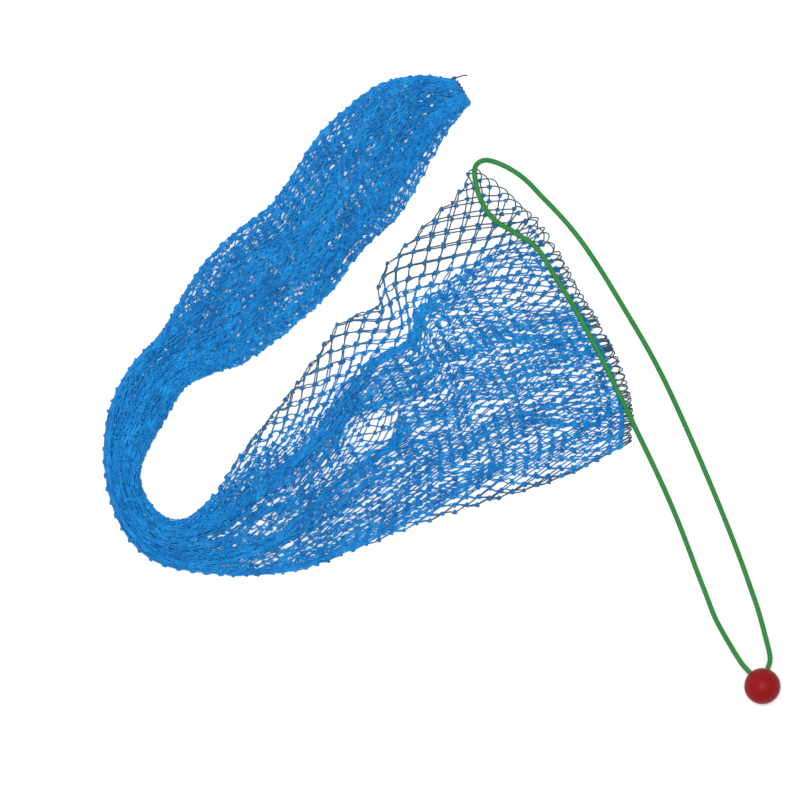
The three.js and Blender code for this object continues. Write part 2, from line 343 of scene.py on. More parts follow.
@dataclass(frozen=True)
class BraidedPolyester:
    """A braided cord's sheath: the strands' own filaments, with painted shade that darkens the gaps of the
    braid.
    """

    name: str
    # The gap colour is painted shade: the strand colour darkened where the braid's gaps lie.
    gap: Colour
    strand: Colour
    roughness: float = 0.6
    specular: float = 0.15
    filaments: float = 28.0
    filament_lay: float = 0.02
    relief: float = 0.00006

    def material(self, effects: SharedEffects) -> bpy.types.Material:
        """Builds the material, which reads the attributes ridge, along and ring of the cord's mesh."""
        material, sketch, shader = new_material(self.name)
        drift = sketch.group(effects.handling, Scale=40.0, Tone=0.5, Gloss=0.2)
        ridge = sketch.math("ADD", sketch.own("ridge"), drift.outputs["Tone"])
        lay = sketch.group(effects.twine_lay, Plies=self.filaments, Lay=self.filament_lay, Groove=0.2)
        given = {
            # Painted shade: the colour darkens from the strands into the braid's gaps.
            "Base Color": sketch.mix(sketch.spread(ridge, 0.0, 0.7), self.gap, self.strand),
            "Roughness": sketch.math("ADD", drift.outputs["Gloss"], self.roughness),
            "Specular IOR Level": self.specular,
            "Normal": bump(sketch, lay.outputs["Height"], self.relief, 0.6),
        }
        sketch.set(shader, given)
        return material


@dataclass(frozen=True)
class MouldedPlastic:
    """Glossy moulded plastic with a faint waviness and rubbed patches."""

    name: str
    colour: Colour
    rubbed: Colour
    roughness: float = 0.5
    specular: float = 0.10
    waviness: float = 420.0
    relief: float = 0.00004

    def material(self, effects: SharedEffects) -> bpy.types.Material:
        """Builds the material."""
        material, sketch, shader = new_material(self.name)
        drift = sketch.group(effects.handling, Scale=90.0, Tone=1.0, Gloss=0.35)
        share = sketch.spread(drift.outputs["Tone"], 0.0, 0.5)
        waves = sketch.noise(sketch.place(), self.waviness, 4.0)
        given = {
            "Base Color": sketch.mix(share, self.colour, self.rubbed),
            "Roughness": sketch.math("ADD", drift.outputs["Gloss"], self.roughness),
            "Specular IOR Level": self.specular,
            "Normal": bump(sketch, waves, self.relief, 0.35),
        }
        sketch.set(shader, given)
        return material


# ---------------------------------------------------------------------------------------
# Meshes that follow a line
# ---------------------------------------------------------------------------------------


def unit(vectors: np.ndarray) -> np.ndarray:
    """Vectors, alone or in rows, brought to length 1."""
    return vectors / np.maximum(np.linalg.norm(vectors, axis=-1, keepdims=True), 1e-9)


def left_of(ahead: np.ndarray) -> np.ndarray:
    """The plan direction a quarter turn to the left of each given one."""
    return unit(np.stack([-ahead[..., 1], ahead[..., 0]], -1))


def smooth_ramp(values: np.ndarray, low: float, high: float) -> np.ndarray:
    """A ramp from 0 at low to 1 at high, with eased ends; high may lie below low."""
    t = np.clip((values - low) / (high - low), 0, 1)
    return t * t * (3 - 2 * t)


def mesh_object(name: str, mesh: bpy.types.Mesh) -> bpy.types.Object:
    """Links a mesh into the scene as an object at the origin."""
    made = bpy.data.objects.new(name, mesh)
    bpy.context.scene.collection.objects.link(made)
    return made


def set_attributes(mesh: bpy.types.Mesh, **values: np.ndarray) -> None:
    """Stores numbers or vectors on a mesh's points, each under its own name."""
    for name, numbers in values.items():
        vector = numbers.ndim == 2
        attribute = mesh.attributes.new(name, "FLOAT_VECTOR" if vector else "FLOAT", "POINT")
        attribute.data.foreach_set("vector" if vector else "value", numbers.astype(np.float32).ravel())


def shade_smooth(mesh: bpy.types.Mesh) -> None:
    """Shades every face of a mesh smooth."""
    mesh.polygons.foreach_set("use_smooth", np.ones(len(mesh.polygons), bool))


def bake_modifiers(piece: bpy.types.Object) -> None:
    """Makes what a piece's modifiers do part of its own mesh."""
    bpy.context.view_layer.update()
    evaluated = piece.evaluated_get(bpy.context.evaluated_depsgraph_get())
    plain = bpy.data.meshes.new_from_object(evaluated)
    piece.modifiers.clear()
    piece.data = plain


def bridge(made: bmesh.types.BMesh, rings: Sequence[Sequence]) -> None:
    """Joins each ring of points to the next with faces; a ring of one point is a pole."""
    for lower, upper in zip(rings, rings[1:]):
        for k in range(max(len(lower), len(upper))):
            here, after = lower[k % len(lower)], lower[(k + 1) % len(lower)]
            beyond, beside = upper[(k + 1) % len(upper)], upper[k % len(upper)]
            made.faces.new(list(dict.fromkeys((here, after, beyond, beside))))


def closed_mesh(name: str, made: bmesh.types.BMesh) -> bpy.types.Mesh:
    """Turns the faces of a closed shape outwards, and ends it as a mesh."""
    bmesh.ops.recalc_face_normals(made, faces=made.faces)
    mesh = bpy.data.meshes.new(name)
    made.to_mesh(mesh)
    made.free()
    return mesh


def lengths_along(line: np.ndarray) -> np.ndarray:
    """The length from a line's start to each of its points."""
    return np.concatenate([[0], np.cumsum(np.linalg.norm(np.diff(line, axis=0), axis=1))])


def evenly(line: np.ndarray, count: int) -> np.ndarray:
    """The same line with a number of evenly spaced points."""
    length = lengths_along(line)
    at = np.linspace(0, length[-1], count)
    return np.stack([np.interp(at, length, line[:, k]) for k in range(3)], 1)


def run_on(points: np.ndarray) -> np.ndarray:
    """Points with one more at each end, straight on from the last two."""
    return np.vstack([2 * points[0] - points[1], points, 2 * points[-1] - points[-2]])


def centripetal(points: np.ndarray, steps: int) -> np.ndarray:
    """A centripetal Catmull-Rom curve through points.

    Args:
        points: The points of the route.
        steps: Points made for each stretch between two of them.

    Returns:
        The points of the curve.
    """
    ends = run_on(points)
    made = []
    for i in range(len(points) - 1):
        level = list(ends[i : i + 4])
        gaps = [math.sqrt(np.linalg.norm(q - p)) for p, q in zip(level, level[1:])]
        knots = np.cumsum([0.0, *gaps])
        t = np.linspace(knots[1], knots[2], steps, endpoint=False)[:, None]
        for spans in (((0, 1), (1, 2), (2, 3)), ((0, 2), (1, 3)), ((1, 2),)):
            level = [
                p + (q - p) * (t - knots[low]) / (knots[high] - knots[low])
                for p, q, (low, high) in zip(level, level[1:], spans)
            ]
        made.append(level[0])
    return np.vstack([*made, points[-1:]])


def drawn_turns(count: int, lift: float) -> np.ndarray:
    """The points of a closed line that winds over and under itself, as in a knot drawn tight."""
    t = 2 * math.pi * np.arange(count) / count
    flat = [np.sin(t) + 2 * np.sin(2 * t), np.cos(t) - 2 * np.cos(2 * t)]
    return np.stack([*flat, -lift * np.sin(3 * t)], 1)


def frames_along(line: np.ndarray, ring: bool = False) -> tuple[np.ndarray, np.ndarray]:
    """Two directions across a line at each of its points, turned as little as possible between them."""
    ahead = unit(np.roll(line, -1, 0) - np.roll(line, 1, 0) if ring else np.gradient(line, axis=0))
    side = np.array([0.0, 0.0, 1.0]) if abs(ahead[0, 2]) < 0.9 else np.array([1.0, 0.0, 0.0])
    first = np.zeros_like(line)
    for i, direction in enumerate(ahead):
        side = unit(side - direction * (side @ direction))
        first[i] = side
    return first, np.cross(ahead, first)


def tube_mesh(
    name: str, line: np.ndarray, radius: np.ndarray, sides: int, ring: bool = False
) -> bpy.types.Mesh:
    """A closed tube along a line, with the attributes along and ring.

    Args:
        name: The mesh's name.
        line: The points that it follows.
        radius: Its radius at each point and side, or one for all.
        sides: How many sides it has.
        ring: Whether the line closes on itself.

    Returns:
        The mesh.
    """
    count = len(line)
    first, second = frames_along(line, ring)
    angle = 2 * math.pi * np.arange(sides) / sides
    spokes = np.stack([np.cos(angle), np.sin(angle)], 1)
    reach = np.broadcast_to(radius, (count, sides))[..., None]
    across = first[:, None] * spokes[None, :, :1] + second[:, None] * spokes[None, :, 1:]
    points = (line[:, None] + across * reach).reshape(-1, 3)
    a, b = np.meshgrid(np.arange(count if ring else count - 1), np.arange(sides), indexing="ij")
    after, beside = (a + 1) % count, (b + 1) % sides
    quads = np.stack([a * sides + b, a * sides + beside, after * sides + beside, after * sides + b], -1)
    faces = [tuple(q) for q in quads.reshape(-1, 4).tolist()]
    if not ring:
        faces.append(tuple(range(sides - 1, -1, -1)))
        faces.append(tuple(range((count - 1) * sides, count * sides)))
    mesh = bpy.data.meshes.new(name)
    mesh.from_pydata(points.tolist(), [], faces)
    mesh.update()
    set_attributes(
        mesh,
        along=np.repeat(lengths_along(line), sides),
        ring=np.tile(np.column_stack([spokes, np.zeros(sides)]), (count, 1)),
    )
    shade_smooth(mesh)
    return mesh


TREE_INPUTS = {
    "Geometry": "NodeSocketGeometry",
    "Twine Diameter": "NodeSocketFloat",
    "Twine Sides": "NodeSocketInt",
    "Knot Scale": "NodeSocketFloat",
    "Knot Unevenness": "NodeSocketFloat",
    "Seed": "NodeSocketInt",
    "Knot Shape": "NodeSocketObject",
    "Finish": "NodeSocketMaterial",
}


class TwineTree:
    """The Geometry Nodes tree that turns laid lines into twine and ties a knot at each marked point."""

    def __init__(self) -> None:
        """Builds the tree."""
        self.tree = bpy.data.node_groups.new("twine_and_knots", "GeometryNodeTree")
        self.sketch = NodeSketch(self.tree)
        face = self.tree.interface
        face.new_socket("Geometry", in_out="OUTPUT", socket_type="NodeSocketGeometry")
        self.ids = {
            name: face.new_socket(name, in_out="INPUT", socket_type=kind).identifier
            for name, kind in TREE_INPUTS.items()
        }
        self._wire()

    def _named(self, name: str, kind: str) -> bpy.types.NodeSocket:
        """Reads a named attribute of the laid lines."""
        node = self.sketch.add("GeometryNodeInputNamedAttribute", {"Name": name}, data_type=kind)
        return node.outputs[0]

    def _stored(
        self, geometry: bpy.types.NodeSocket, name: str, kind: str, value: bpy.types.NodeSocket
    ) -> bpy.types.NodeSocket:
        """Stores a value on points under a name, and returns the geometry that carries it."""
        given = {"Name": name, "Geometry": geometry, "Value": value}
        node = self.sketch.add("GeometryNodeStoreNamedAttribute", given, data_type=kind, domain="POINT")
        return node.outputs[0]

    def _tubes(self, given: bpy.types.NodeOutputs) -> bpy.types.NodeSocket:
        """Sweeps a round section along every line, and keeps the place along and round it."""
        sketch = self.sketch
        curves = sketch.add("GeometryNodeMeshToCurve", {"Mesh": given["Geometry"]})
        length = sketch.add("GeometryNodeSplineParameter").outputs["Length"]
        lines = self._stored(curves.outputs[0], "along", "FLOAT", length)
        radius = sketch.math("MULTIPLY", given["Twine Diameter"], 0.5)
        size = {"Resolution": given["Twine Sides"], "Radius": radius}
        circle = sketch.add("GeometryNodeCurvePrimitiveCircle", size, mode="RADIUS")
        place = sketch.add("GeometryNodeInputPosition").outputs[0]
        outward = sketch.add("ShaderNodeVectorMath", {0: place}, operation="NORMALIZE")
        section = self._stored(circle.outputs["Curve"], "ring", "FLOAT_VECTOR", outward.outputs[0])
        swept = {"Curve": lines, "Profile Curve": section, "Fill Caps": True}
        return sketch.add("GeometryNodeCurveToMesh", swept).outputs[0]

    def _knots(self, given: bpy.types.NodeOutputs) -> bpy.types.NodeSocket:
        """Puts a knot on every marked point, turned along its columns and a little uneven in size."""
        sketch = self.sketch
        object_given = {"Object": given["Knot Shape"]}
        shape = sketch.add("GeometryNodeObjectInfo", object_given, transform_space="ORIGINAL")
        mark = {0: self._named("knot", "FLOAT"), 1: 0.5}
        marked = sketch.add("FunctionNodeCompare", mark, data_type="FLOAT", operation="GREATER_THAN")
        turned = sketch.add("FunctionNodeEulerToRotation", {0: self._named("knot_turn", "FLOAT_VECTOR")})
        spread = given["Knot Unevenness"]
        sizes = {2: sketch.math("SUBTRACT", 1.0, spread), 3: sketch.math("ADD", 1.0, spread)}
        uneven = sketch.add("FunctionNodeRandomValue", {**sizes, "Seed": given["Seed"]}, data_type="FLOAT")
        placed = {
            "Points": given["Geometry"],
            "Selection": marked.outputs[0],
            "Instance": shape.outputs["Geometry"],
            "Rotation": turned.outputs[0],
            "Scale": sketch.math("MULTIPLY", uneven.outputs[1], given["Knot Scale"]),
        }
        return sketch.add("GeometryNodeInstanceOnPoints", placed).outputs[0]

    def _wire(self) -> None:
        """Joins tubes and knots, makes them real and gives them their finish."""
        sketch = self.sketch
        given, leave = sketch.add("NodeGroupInput").outputs, sketch.add("NodeGroupOutput")
        together = sketch.add("GeometryNodeJoinGeometry")
        for part in (self._tubes(given), self._knots(given)):
            sketch.join(part, together.inputs[0])
        real = sketch.add("GeometryNodeRealizeInstances", {0: together.outputs[0]})
        smooth = sketch.add("GeometryNodeSetShadeSmooth", {0: real.outputs[0]})
        finish = {"Geometry": smooth.outputs[0], "Material": given["Finish"]}
        sketch.join(sketch.add("GeometryNodeSetMaterial", finish).outputs[0], leave.inputs[0])

    def grown(self, name: str, lines: bpy.types.Mesh, **values: object) -> bpy.types.Object:
        """Runs the tree on laid lines and keeps the result as a plain mesh.

        Args:
            name: The piece's name.
            lines: The laid lines with their attributes.
            values: The tree's inputs, whose names are given with _ for spaces.

        Returns:
            The piece.
        """
        piece = mesh_object(name, lines)
        modifier = piece.modifiers.new("twine", "NODES")
        modifier.node_group = self.tree
        for label, value in values.items():
            modifier[self.ids[label.replace("_", " ")]] = value
        bake_modifiers(piece)
        piece.data.name = name
        bpy.data.meshes.remove(lines)
        return piece


def knot_shape(twine: float) -> bpy.types.Object:
    """One knot of the netting: a turn of twine drawn tight on itself.

    Args:
        twine: The twine's diameter.

    Returns:
        A helper object that the tree reads, hidden from the render.
    """
    drawn = drawn_turns(12, 1.1) * np.array([0.40, 0.46, 0.36]) * twine
    shape = mesh_object("knot_shape", tube_mesh("knot_shape", drawn, np.array(twine * 0.6), 4, ring=True))
    shape.hide_render = True
    return shape


# ---------------------------------------------------------------------------------------
# The laid plan and the netting on it
# ---------------------------------------------------------------------------------------


def smoothed(values: np.ndarray, reach: float, axis: int, ring: bool) -> np.ndarray:
    """Blurs a grid of numbers along one axis.

    Args:
        values: The grid, rows by columns.
        reach: How many cells the blur reaches.
        axis: 0 to blur along the rows' direction, 1 along the columns'.
        ring: Whether the axis closes on itself.

    Returns:
        The blurred grid.
    """
    count = values.shape[axis]
    place = np.arange(count)
    apart = np.abs(place[:, None] - place[None])
    if ring:
        apart = np.minimum(apart, count - apart)
    weight = np.exp(-0.5 * (apart / reach) ** 2)
    weight /= weight.sum(1, keepdims=True)
    return weight @ values if axis == 0 else values @ weight.T


def wander(rng: np.random.Generator, shape: tuple[int, int], reach: tuple[float, float]) -> np.ndarray:
    """A smooth random field over the rows and columns of the netting.

    Args:
        rng: The source of random numbers.
        shape: Rows and columns.
        reach: How many rows and columns a swing takes.

    Returns:
        A field with mean 0 and deviation 1 that closes on itself round the columns.
    """
    grid = smoothed(smoothed(rng.normal(size=shape), reach[0], 0, False), reach[1], 1, True)
    return (grid - grid.mean()) / grid.std()


def spline(points: np.ndarray, at: np.ndarray) -> np.ndarray:
    """Reads a smooth curve through points at fractional indices.

    Args:
        points: One point a row.
        at: The indices to read it at, from 0 to the number of points less 1.

    Returns:
        One point for each index.
    """
    last = len(points) - 1
    low = np.clip(np.floor(at).astype(int), 0, last - 1)
    f = (at - low)[:, None]
    padded = run_on(points)
    a, b, c, d = (padded[low + k] for k in range(4))
    square, cube = 2 * a - 5 * b + 4 * c - d, 3 * b - a - 3 * c + d
    return 0.5 * (2 * b + (c - a) * f + square * f**2 + cube * f**3)


class NetPlan:
    """The bag's laid plan: two edges, a bow and a height at stations from the tail to the mouth."""

    def __init__(self, sections: list[tuple[np.ndarray, np.ndarray]]) -> None:
        """Reads the plan from the solids of the bag's sections.

        Args:
            sections: Vertices and triangles of each section, from the tail to the mouth.
        """
        solids = [self._merged(vertices, triangles) for vertices, triangles in sections]
        middles = [vertices[:, :2].mean(0) for vertices, _ in solids]
        inner, outer, bow, height = [], [], [], []
        self.marks = [0]
        for i, (vertices, triangles) in enumerate(solids):
            before = min(i, len(solids) - 2)
            ahead = middles[before + 1] - middles[before]
            near, far, left, right = self._sides(self._outline(vertices, triangles), middles[i], ahead)
            bows = np.linspace(self._bow(near, left[0]), self._bow(far, left[-1]), len(left))
            heights = self._heights(vertices, left, right, bows)
            start = 1 if i else 0
            if i:
                inner[-1] = (inner[-1] + left[0]) / 2
                outer[-1] = (outer[-1] + right[0]) / 2
            inner += list(left[start:])
            outer += list(right[start:])
            bow += list(bows[start:])
            height += list(heights[start:])
            self.marks.append(len(inner) - 1)
        self.inner, self.outer = np.array(inner), np.array(outer)
        self.bow, self.height = np.array(bow), np.array(height)
        self.last = len(inner) - 1

    @staticmethod
    def _merged(vertices: np.ndarray, triangles: np.ndarray) -> tuple[np.ndarray, np.ndarray]:
        """Merges vertices that lie in one place, and renumbers the triangles."""
        _, first, index = np.unique(np.round(vertices, 6), axis=0, return_index=True, return_inverse=True)
        return vertices[first], index.reshape(-1)[triangles]

    @staticmethod
    def _outline(vertices: np.ndarray, triangles: np.ndarray) -> np.ndarray:
        """The outline of a section's flat underside, as plan points in order round it."""
        under = triangles[(vertices[triangles][:, :, 2] < 1e-5).all(1)]
        edges = dict.fromkeys(pair for a, b, c in under for pair in ((a, b), (b, c), (c, a)))
        follow = {a: b for a, b in edges if (b, a) not in edges}
        loop = [next(iter(follow))]
        while follow[loop[-1]] != loop[0]:
            loop.append(follow[loop[-1]])
        return vertices[loop][:, :2]

    @staticmethod
    def _sides(loop: np.ndarray, middle: np.ndarray, ahead: np.ndarray) -> list[np.ndarray]:
        """Splits an outline at its four corners.

        Args:
            loop: The outline's points in order.
            middle: The section's middle.
            ahead: The direction towards the mouth.

        Returns:
            The near end, the far end, the left flank and the right flank, the flanks running ahead.
        """
        before, after = loop - np.roll(loop, 1, 0), np.roll(loop, -1, 0) - loop
        cross = before[:, 0] * after[:, 1] - before[:, 1] * after[:, 0]
        turn = np.abs(np.arctan2(cross, (before * after).sum(1)))
        corners = np.sort(np.argsort(turn)[-4:])
        stops = [*corners[1:], corners[0] + len(loop)]
        runs = [loop[np.arange(a, b + 1) % len(loop)] for a, b in zip(corners, stops)]
        chords = [unit(run[-1] - run[0]) for run in runs]
        ends_first = abs(chords[0] @ ahead) < abs(chords[1] @ ahead)
        ends, flanks = (runs[0::2], runs[1::2]) if ends_first else (runs[1::2], runs[0::2])
        near, far = sorted(ends, key=lambda run: (run.mean(0) - middle) @ ahead)
        left = left_of(ahead)
        flanks = sorted(flanks, key=lambda run: -(run.mean(0) - middle) @ left)
        flanks = [run if (run[-1] - run[0]) @ ahead > 0 else run[::-1] for run in flanks]
        return [near, far, *flanks]

    @staticmethod
    def _bow(line: np.ndarray, inner: np.ndarray) -> float:
        """How far the middle of a line across the bag stands ahead of its straight chord."""
        a, b = line[0], line[-1]
        if np.linalg.norm(a - inner) > np.linalg.norm(b - inner):
            a, b = b, a
        return float((line[len(line) // 2] - (a + b) / 2) @ left_of(b - a))

    @staticmethod
    def _heights(
        vertices: np.ndarray, left: np.ndarray, right: np.ndarray, bows: np.ndarray
    ) -> list[float]:
        """The section's height over the middle of each station."""
        top = vertices[vertices[:, 2] > 1e-4]
        found = []
        for a, b, bow in zip(left, right, bows):
            middle = (a + b) / 2 + left_of(b - a) * bow
            found.append(float(top[np.argmin(np.linalg.norm(top[:, :2] - middle, axis=1)), 2]))
        return found

    def at(self, station: np.ndarray, across: np.ndarray) -> np.ndarray:
        """Plan points at stations and shares across, from 0 on the inner edge to 1 on the outer."""
        station = np.clip(station, 0, self.last)
        a, b = spline(self.inner, station), spline(self.outer, station)
        width = b - a
        bow = np.interp(station, np.arange(self.last + 1), self.bow) * (1 - (2 * across - 1) ** 4)
        return a + width * across[:, None] + left_of(width) * bow[:, None]

    def rise(self, station: np.ndarray) -> np.ndarray:
        """The bag's height over the middle at stations."""
        return np.interp(station, np.arange(self.last + 1), self.height)

    def lines(self, stations: int, lanes: int) -> tuple[np.ndarray, np.ndarray]:
        """Lengths from the tail along evenly spaced lanes.

        Args:
            stations: How many places to read along the bag.
            lanes: How many lanes across it.

        Returns:
            The stations, and the length at each station and lane.
        """
        along = np.linspace(0, self.last, stations)
        grid_a, grid_b = np.meshgrid(along, np.linspace(0, 1, lanes), indexing="ij")
        points = self.at(grid_a.ravel(), grid_b.ravel()).reshape(stations, lanes, 2)
        steps = np.linalg.norm(np.diff(points, axis=0), axis=2)
        return along, np.vstack([np.zeros((1, lanes)), np.cumsum(steps, 0)])


@dataclass(frozen=True)
class Gather:
    """How the netting's columns crowd across the bag at one share of its length."""

    along: float
    across: tuple[float, ...]


@dataclass(frozen=True)
class Sway:
    """How far columns wander sideways, in metres, at one share of the bag's length."""

    along: float
    single: float
    bunch: float
    fold: float


# Where the columns lie across the bag, read at these shares of one layer's columns.
COLUMN_SHARES = (0, 0.04, 0.10, 0.18, 0.30, 0.45, 0.60, 0.75, 0.88, 0.95, 1)

# Shares of a layer's columns, and where they are taken instead, closer to the two folded edges.
FOLD_SHARES = ((0, 0.016, 0.05, 0.95, 0.984, 1), (0, 0.003, 0.047, 0.953, 0.997, 1))
GATHERS = (
    Gather(0.00, (0, 0.04, 0.10, 0.18, 0.30, 0.45, 0.60, 0.74, 0.87, 0.95, 1)),
    Gather(0.08, (0, 0.04, 0.10, 0.17, 0.28, 0.41, 0.56, 0.68, 0.81, 0.91, 1)),
    Gather(0.20, (0, 0.04, 0.11, 0.18, 0.28, 0.41, 0.57, 0.69, 0.81, 0.91, 1)),
    Gather(0.32, (0, 0.06, 0.13, 0.20, 0.30, 0.43, 0.58, 0.71, 0.84, 0.92, 1)),
    Gather(0.40, (0, 0.04, 0.10, 0.18, 0.30, 0.45, 0.60, 0.74, 0.86, 0.94, 1)),
    Gather(0.58, (0, 0.05, 0.11, 0.18, 0.29, 0.43, 0.57, 0.72, 0.87, 0.95, 1)),
    Gather(0.64, (0, 0.10, 0.18, 0.24, 0.34, 0.47, 0.60, 0.74, 0.88, 0.95, 1)),
    Gather(0.70, (0, 0.12, 0.25, 0.30, 0.37, 0.48, 0.61, 0.75, 0.88, 0.95, 1)),
    Gather(0.77, (0, 0.12, 0.25, 0.29, 0.37, 0.47, 0.60, 0.75, 0.88, 0.95, 1)),
    Gather(0.85, (0, 0.09, 0.22, 0.27, 0.36, 0.48, 0.61, 0.75, 0.88, 0.94, 1)),
    Gather(0.92, (0, 0.09, 0.21, 0.30, 0.42, 0.54, 0.66, 0.78, 0.88, 0.94, 1)),
    Gather(1.00, (0, 0.10, 0.25, 0.38, 0.53, 0.64, 0.74, 0.84, 0.92, 0.96, 1)),
)
# How many rows and columns a swing of each kind takes.
SWAY_REACHES = {"single": (0.9, 0.7), "bunch": (3.0, 1.6), "fold": (7.0, 2.5)}
SWAYS = (
    Sway(0.00, 0.0014, 0.0028, 0.0030),
    Sway(0.35, 0.0014, 0.0028, 0.0030),
    Sway(0.42, 0.0010, 0.0015, 0.0020),
    Sway(0.56, 0.0010, 0.0018, 0.0020),
    Sway(0.66, 0.0022, 0.0030, 0.0036),
    Sway(1.00, 0.0026, 0.0034, 0.0050),
)


# How many places along the bag, and lanes across it, its length is read at.
STATIONS, LANES = 521, 33

# How much the two layers swing together at shares of the bag's length.
LAYERS_TOGETHER = ((0.34, 0.42, 0.58, 0.70), (0.6, 0.0, 0.0, 1.0))


@dataclass
class NetLay:
    """Lays the knots of a tube of netting on the plan, a row at a time from the tail to the mouth.

    Row r and column c meet in one knot. Every second row stands half a column further round, so
    four bars of twine meet in each knot and leave diamonds between them. A range of two numbers is
    where something starts and where it is in full.
    """

    plan: NetPlan
    columns: int = 84
    rows: int = 94
    tight_rows: float = 0.455
    tight_length: float = 0.42
    bar: float = 0.014
    seed: int = 5
    inner_inset: float = 0.0030
    outer_inset: float = 0.0008
    slip: float = 0.0022
    drift: float = 0.0045
    hole: tuple[float, float] = (0.001, -0.104)
    hole_reach: tuple[float, float] = (0.027, 0.019)
    hole_push: float = 0.012
    hole_edge: float = 1.3
    tears: tuple[tuple[float, int], ...] = ((1.6, 80), (0.9, 6))
    lower_offset: float = 0.012
    lower_range: tuple[float, float] = (0.90, 1.0)
    open_across: tuple[float, float] = (0.30, 0.20)
    open_along: tuple[float, float] = (0.58, 0.66)
    edge_share: float = 0.06
    open_calm: float = 0.75
    taut: float = 0.992
    crushed: float = 0.5
    hold: float = 0.03
    end_hold: float = 0.5
    eagerness: float = 1.6
    side: np.ndarray = field(init=False)
    across: np.ndarray = field(init=False)
    station: np.ndarray = field(init=False)
    knots: np.ndarray = field(init=False)
    open_share: np.ndarray = field(init=False)

    def __post_init__(self) -> None:
        """Places the knots."""
        rng = np.random.default_rng(self.seed)
        rows = np.arange(self.rows + 1)[:, None]
        turn = ((np.arange(self.columns)[None] + 0.5 * (rows % 2)) / self.columns) % 1.0
        self.side = np.where(turn < 0.5, 1, -1)
        share = np.where(turn < 0.5, 2 * turn, 2 - 2 * turn)
        placed = np.interp(rows / self.rows, (0, self.tight_rows, 1), (0, self.tight_length, 1))
        along = np.broadcast_to(placed, share.shape)
        lower = np.where(self.side < 0, self.lower_offset, 0)
        share = np.clip(share + lower * smooth_ramp(along, *self.lower_range), 0, 1)
        across = self._gathered(along, np.interp(share, *FOLD_SHARES))
        near_edge = smooth_ramp(across, *self.open_across)
        self.open_share = smooth_ramp(along, *self.open_along) * near_edge
        self.across = self._swayed(rng, along, share, across)
        self.station = self._stations(rng, along)
        flat = self.plan.at(self.station.ravel(), self.across.ravel()).reshape(share.shape + (2,))
        for strength, steps in self.tears:
            flat = self._relaxed(self._torn(rng, flat, strength), along, steps)
        self.knots = flat

    def _gathered(self, along: np.ndarray, share: np.ndarray) -> np.ndarray:
        """Where the columns lie across the bag before they wander."""
        marks = [gather.along for gather in GATHERS]
        each = np.stack([np.interp(share, COLUMN_SHARES, gather.across) for gather in GATHERS])
        place = np.interp(along, marks, np.arange(len(marks)))
        low = np.clip(place.astype(int), 0, len(marks) - 2)
        below = np.take_along_axis(each, low[None], 0)[0]
        above = np.take_along_axis(each, low[None] + 1, 0)[0]
        return below + (above - below) * (place - low)

    def _swayed(
        self, rng: np.random.Generator, along: np.ndarray, share: np.ndarray, across: np.ndarray
    ) -> np.ndarray:
        """Lets columns wander alone, in bunches and in folds, less in the open strip and at the edges."""
        station = along.ravel() * self.plan.last
        edges = [self.plan.at(station, np.full(station.shape, end)) for end in (0.0, 1.0)]
        width = np.linalg.norm(edges[1] - edges[0], axis=1).reshape(share.shape)
        marks = [sway.along for sway in SWAYS]
        most = [np.interp(along, marks, [getattr(s, kind) for s in SWAYS]) for kind in SWAY_REACHES]
        single, bunch, fold = (wander(rng, share.shape, reach) for reach in SWAY_REACHES.values())
        single, bunch, fold = single * most[0], bunch * most[1], self._twinned(fold, along) * most[2]
        inside = np.clip(np.minimum(share, 1 - share) / self.edge_share, 0, 1)
        free = inside * (1 - self.open_calm * self.open_share)
        swayed = across + free * (single + bunch + fold) / width
        swayed = np.clip(np.where(swayed > 1, 2 - swayed, np.abs(swayed)), 0, 1)
        return self.inner_inset / width + swayed * (1 - (self.inner_inset + self.outer_inset) / width)

    def _twinned(self, field_of: np.ndarray, along: np.ndarray) -> np.ndarray:
        """Makes a field swing the two layers together where they lie on each other towards the mouth."""
        rows, columns = np.indices(field_of.shape)
        other = field_of[rows, (self.columns - columns - rows % 2) % self.columns]
        together = np.interp(along, *LAYERS_TOGETHER)
        twin = np.where(self.side > 0, field_of, other)
        return field_of * (1 - together) + twin * together

    def _stations(self, rng: np.random.Generator, along: np.ndarray) -> np.ndarray:
        """The station of each knot, so that every column's knots lie evenly along its own length."""
        stations, length = self.plan.lines(STATIONS, LANES)
        lane = np.clip(self.across * (LANES - 1), 0, LANES - 1.001)
        low = lane.astype(int)
        part = lane - low
        slip = wander(rng, along.shape, (1.5, 1.5)) * self.slip
        slip += wander(rng, along.shape, (5.0, 5.0)) * self.drift
        found = np.zeros(along.shape)
        for r, c in np.ndindex(along.shape):
            column = length[:, low[r, c]] * (1 - part[r, c]) + length[:, low[r, c] + 1] * part[r, c]
            inside = slip[r, c] * min(1.0, r / 4, (self.rows - r) / 4)
            found[r, c] = np.interp(along[r, c] * column[-1] + inside, column, stations)
        return found

    def _torn(self, rng: np.random.Generator, flat: np.ndarray, strength: float) -> np.ndarray:
        """Pushes the knots out of the place where the meshes have been pulled open."""
        off = flat - np.array(self.hole)
        reach = np.linalg.norm(off / np.array(self.hole_reach), axis=2)
        uneven = rng.uniform(0.3, 1.4, reach.shape)
        push = np.clip(self.hole_edge - reach, 0, 1) * self.hole_push * strength * uneven
        return flat + unit(off) * push[..., None]

    def bars(self) -> np.ndarray:
        """The two knots of every bar of twine, as flat indices into the knots."""
        row, column = np.meshgrid(np.arange(self.rows), np.arange(self.columns), indexing="ij")
        here = row * self.columns + column
        straight = here + self.columns
        step = np.where(row % 2 == 1, 1, -1)
        crossed = (row + 1) * self.columns + (column + step) % self.columns
        return np.vstack([np.stack([here.ravel(), there.ravel()], 1) for there in (straight, crossed)])

